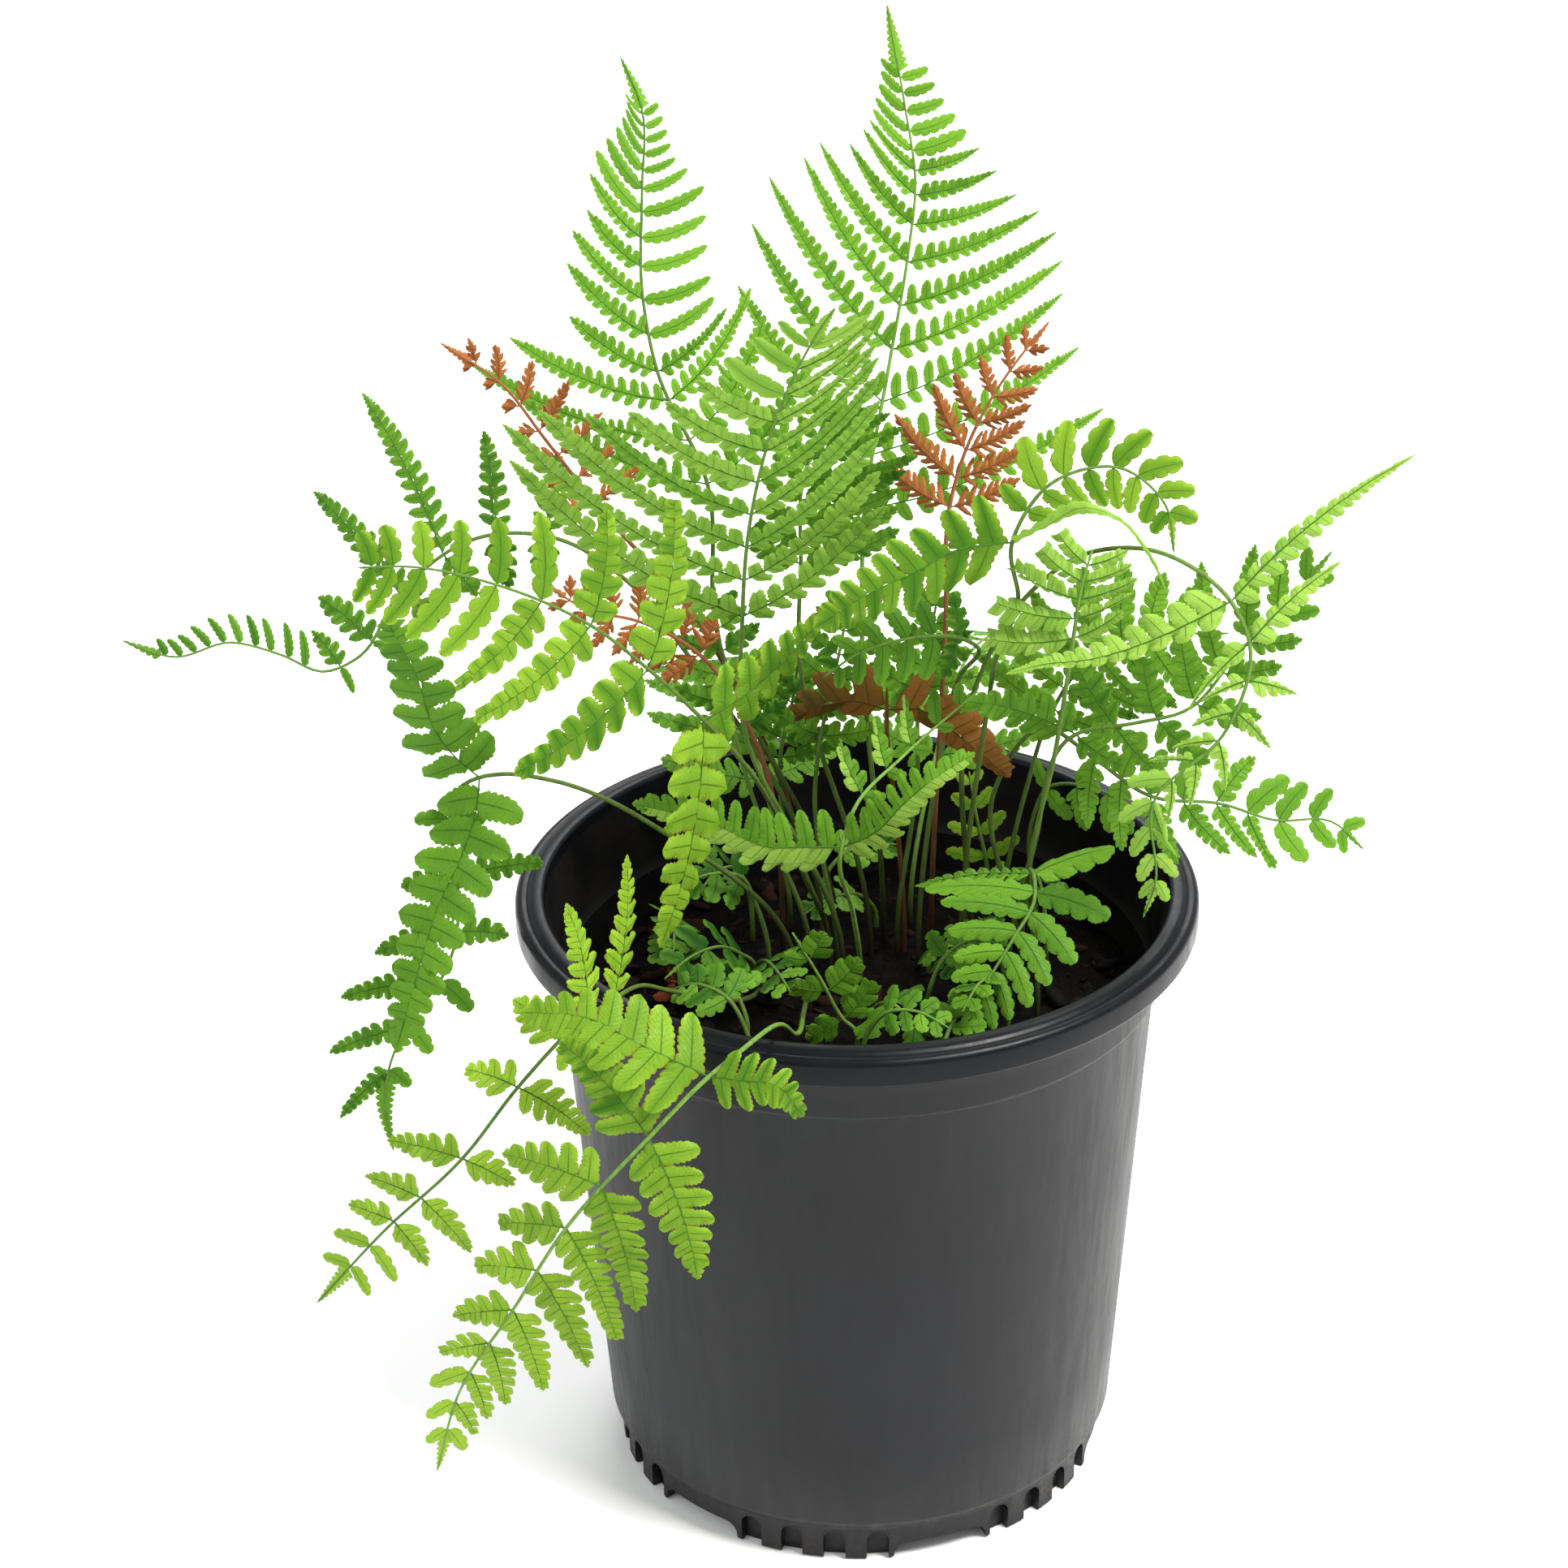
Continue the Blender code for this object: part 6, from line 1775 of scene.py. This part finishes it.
def make_camera():
    """The photograph's camera."""
    data = bpy.data.cameras.new("camera")
    data.lens = CAMERA_LENS
    data.sensor_width = CAMERA_SENSOR
    data.sensor_fit = "HORIZONTAL"
    data.clip_start, data.clip_end = CAMERA_CLIP
    camera = linked("camera", data)
    ahead = Vector(CAMERA_AHEAD).normalized()
    right = squared_to(Vector(CAMERA_RIGHT), ahead)
    up = right.cross(ahead)
    turn = Matrix((right, up, -ahead)).transposed().to_4x4()
    camera.matrix_world = Matrix.Translation(Vector(CAMERA_AT) * MM) @ turn
    bpy.context.scene.camera = camera


# Colours as the screen shows them, 0 to 255
LEAVES = {
    # name: dark, light, vein, edge, share of the margin that is rusty, light through
    "fresh": ((48, 100, 12), (148, 186, 52), (34, 78, 12), (124, 80, 30), 0.62, 0.3),
    "green": ((30, 82, 12), (112, 162, 44), (28, 72, 16), (104, 84, 30), 0.34, 0.3),
    "pale": ((74, 130, 22), (154, 192, 80), (54, 104, 24), (140, 120, 56), 0.35, 0.34),
    "copper": ((108, 58, 24), (178, 112, 58), (100, 50, 20), (104, 46, 22), 0.5, 0.25),
    "withered": ((72, 62, 24), (148, 98, 42), (60, 42, 16), (64, 38, 18), 0.6, 0.25),
    "dry": ((56, 26, 16), (116, 56, 32), (44, 20, 12), (44, 20, 12), 0.6, 0.1),
}
STALKS = {
    # name: foot, middle, top dark, top light, ribs. The dark foot and middle are partly the stems'
    # own brown and partly painted shade for the deep shade among the stems
    "green": ((28, 22, 13), (58, 66, 30), (62, 98, 30), (118, 158, 66), (54, 100, 26)),
    "copper": ((30, 20, 13), (80, 54, 34), (142, 84, 50), (156, 98, 60), (130, 74, 42)),
    "brown": ((50, 32, 20), (92, 58, 32), (104, 62, 32), (116, 74, 38), (80, 50, 24)),
}
STALK_OF = {"copper": "copper", "withered": "brown", "dry": "brown"}


def build():
    make_pot()
    make_mix()
    make_chips()
    leaves = {name: leaf_material("leaf_" + name, *look) for name, look in LEAVES.items()}
    stalks = {name: stalk_material("stalk_" + name, *look) for name, look in STALKS.items()}
    for number, frond in enumerate(FRONDS):
        stalk = stalks[STALK_OF.get(frond.colour, "green")]
        leaf = leaves[habit_of(frond).look or frond.colour]
        grow_frond(frond, number, [leaf, stalk, leaves["pale"]])
    green = [leaves["green"], stalks["green"], leaves["pale"]]
    grow_young(green)
    grow_sprouts(green)
    make_stage()
    make_camera()


build()
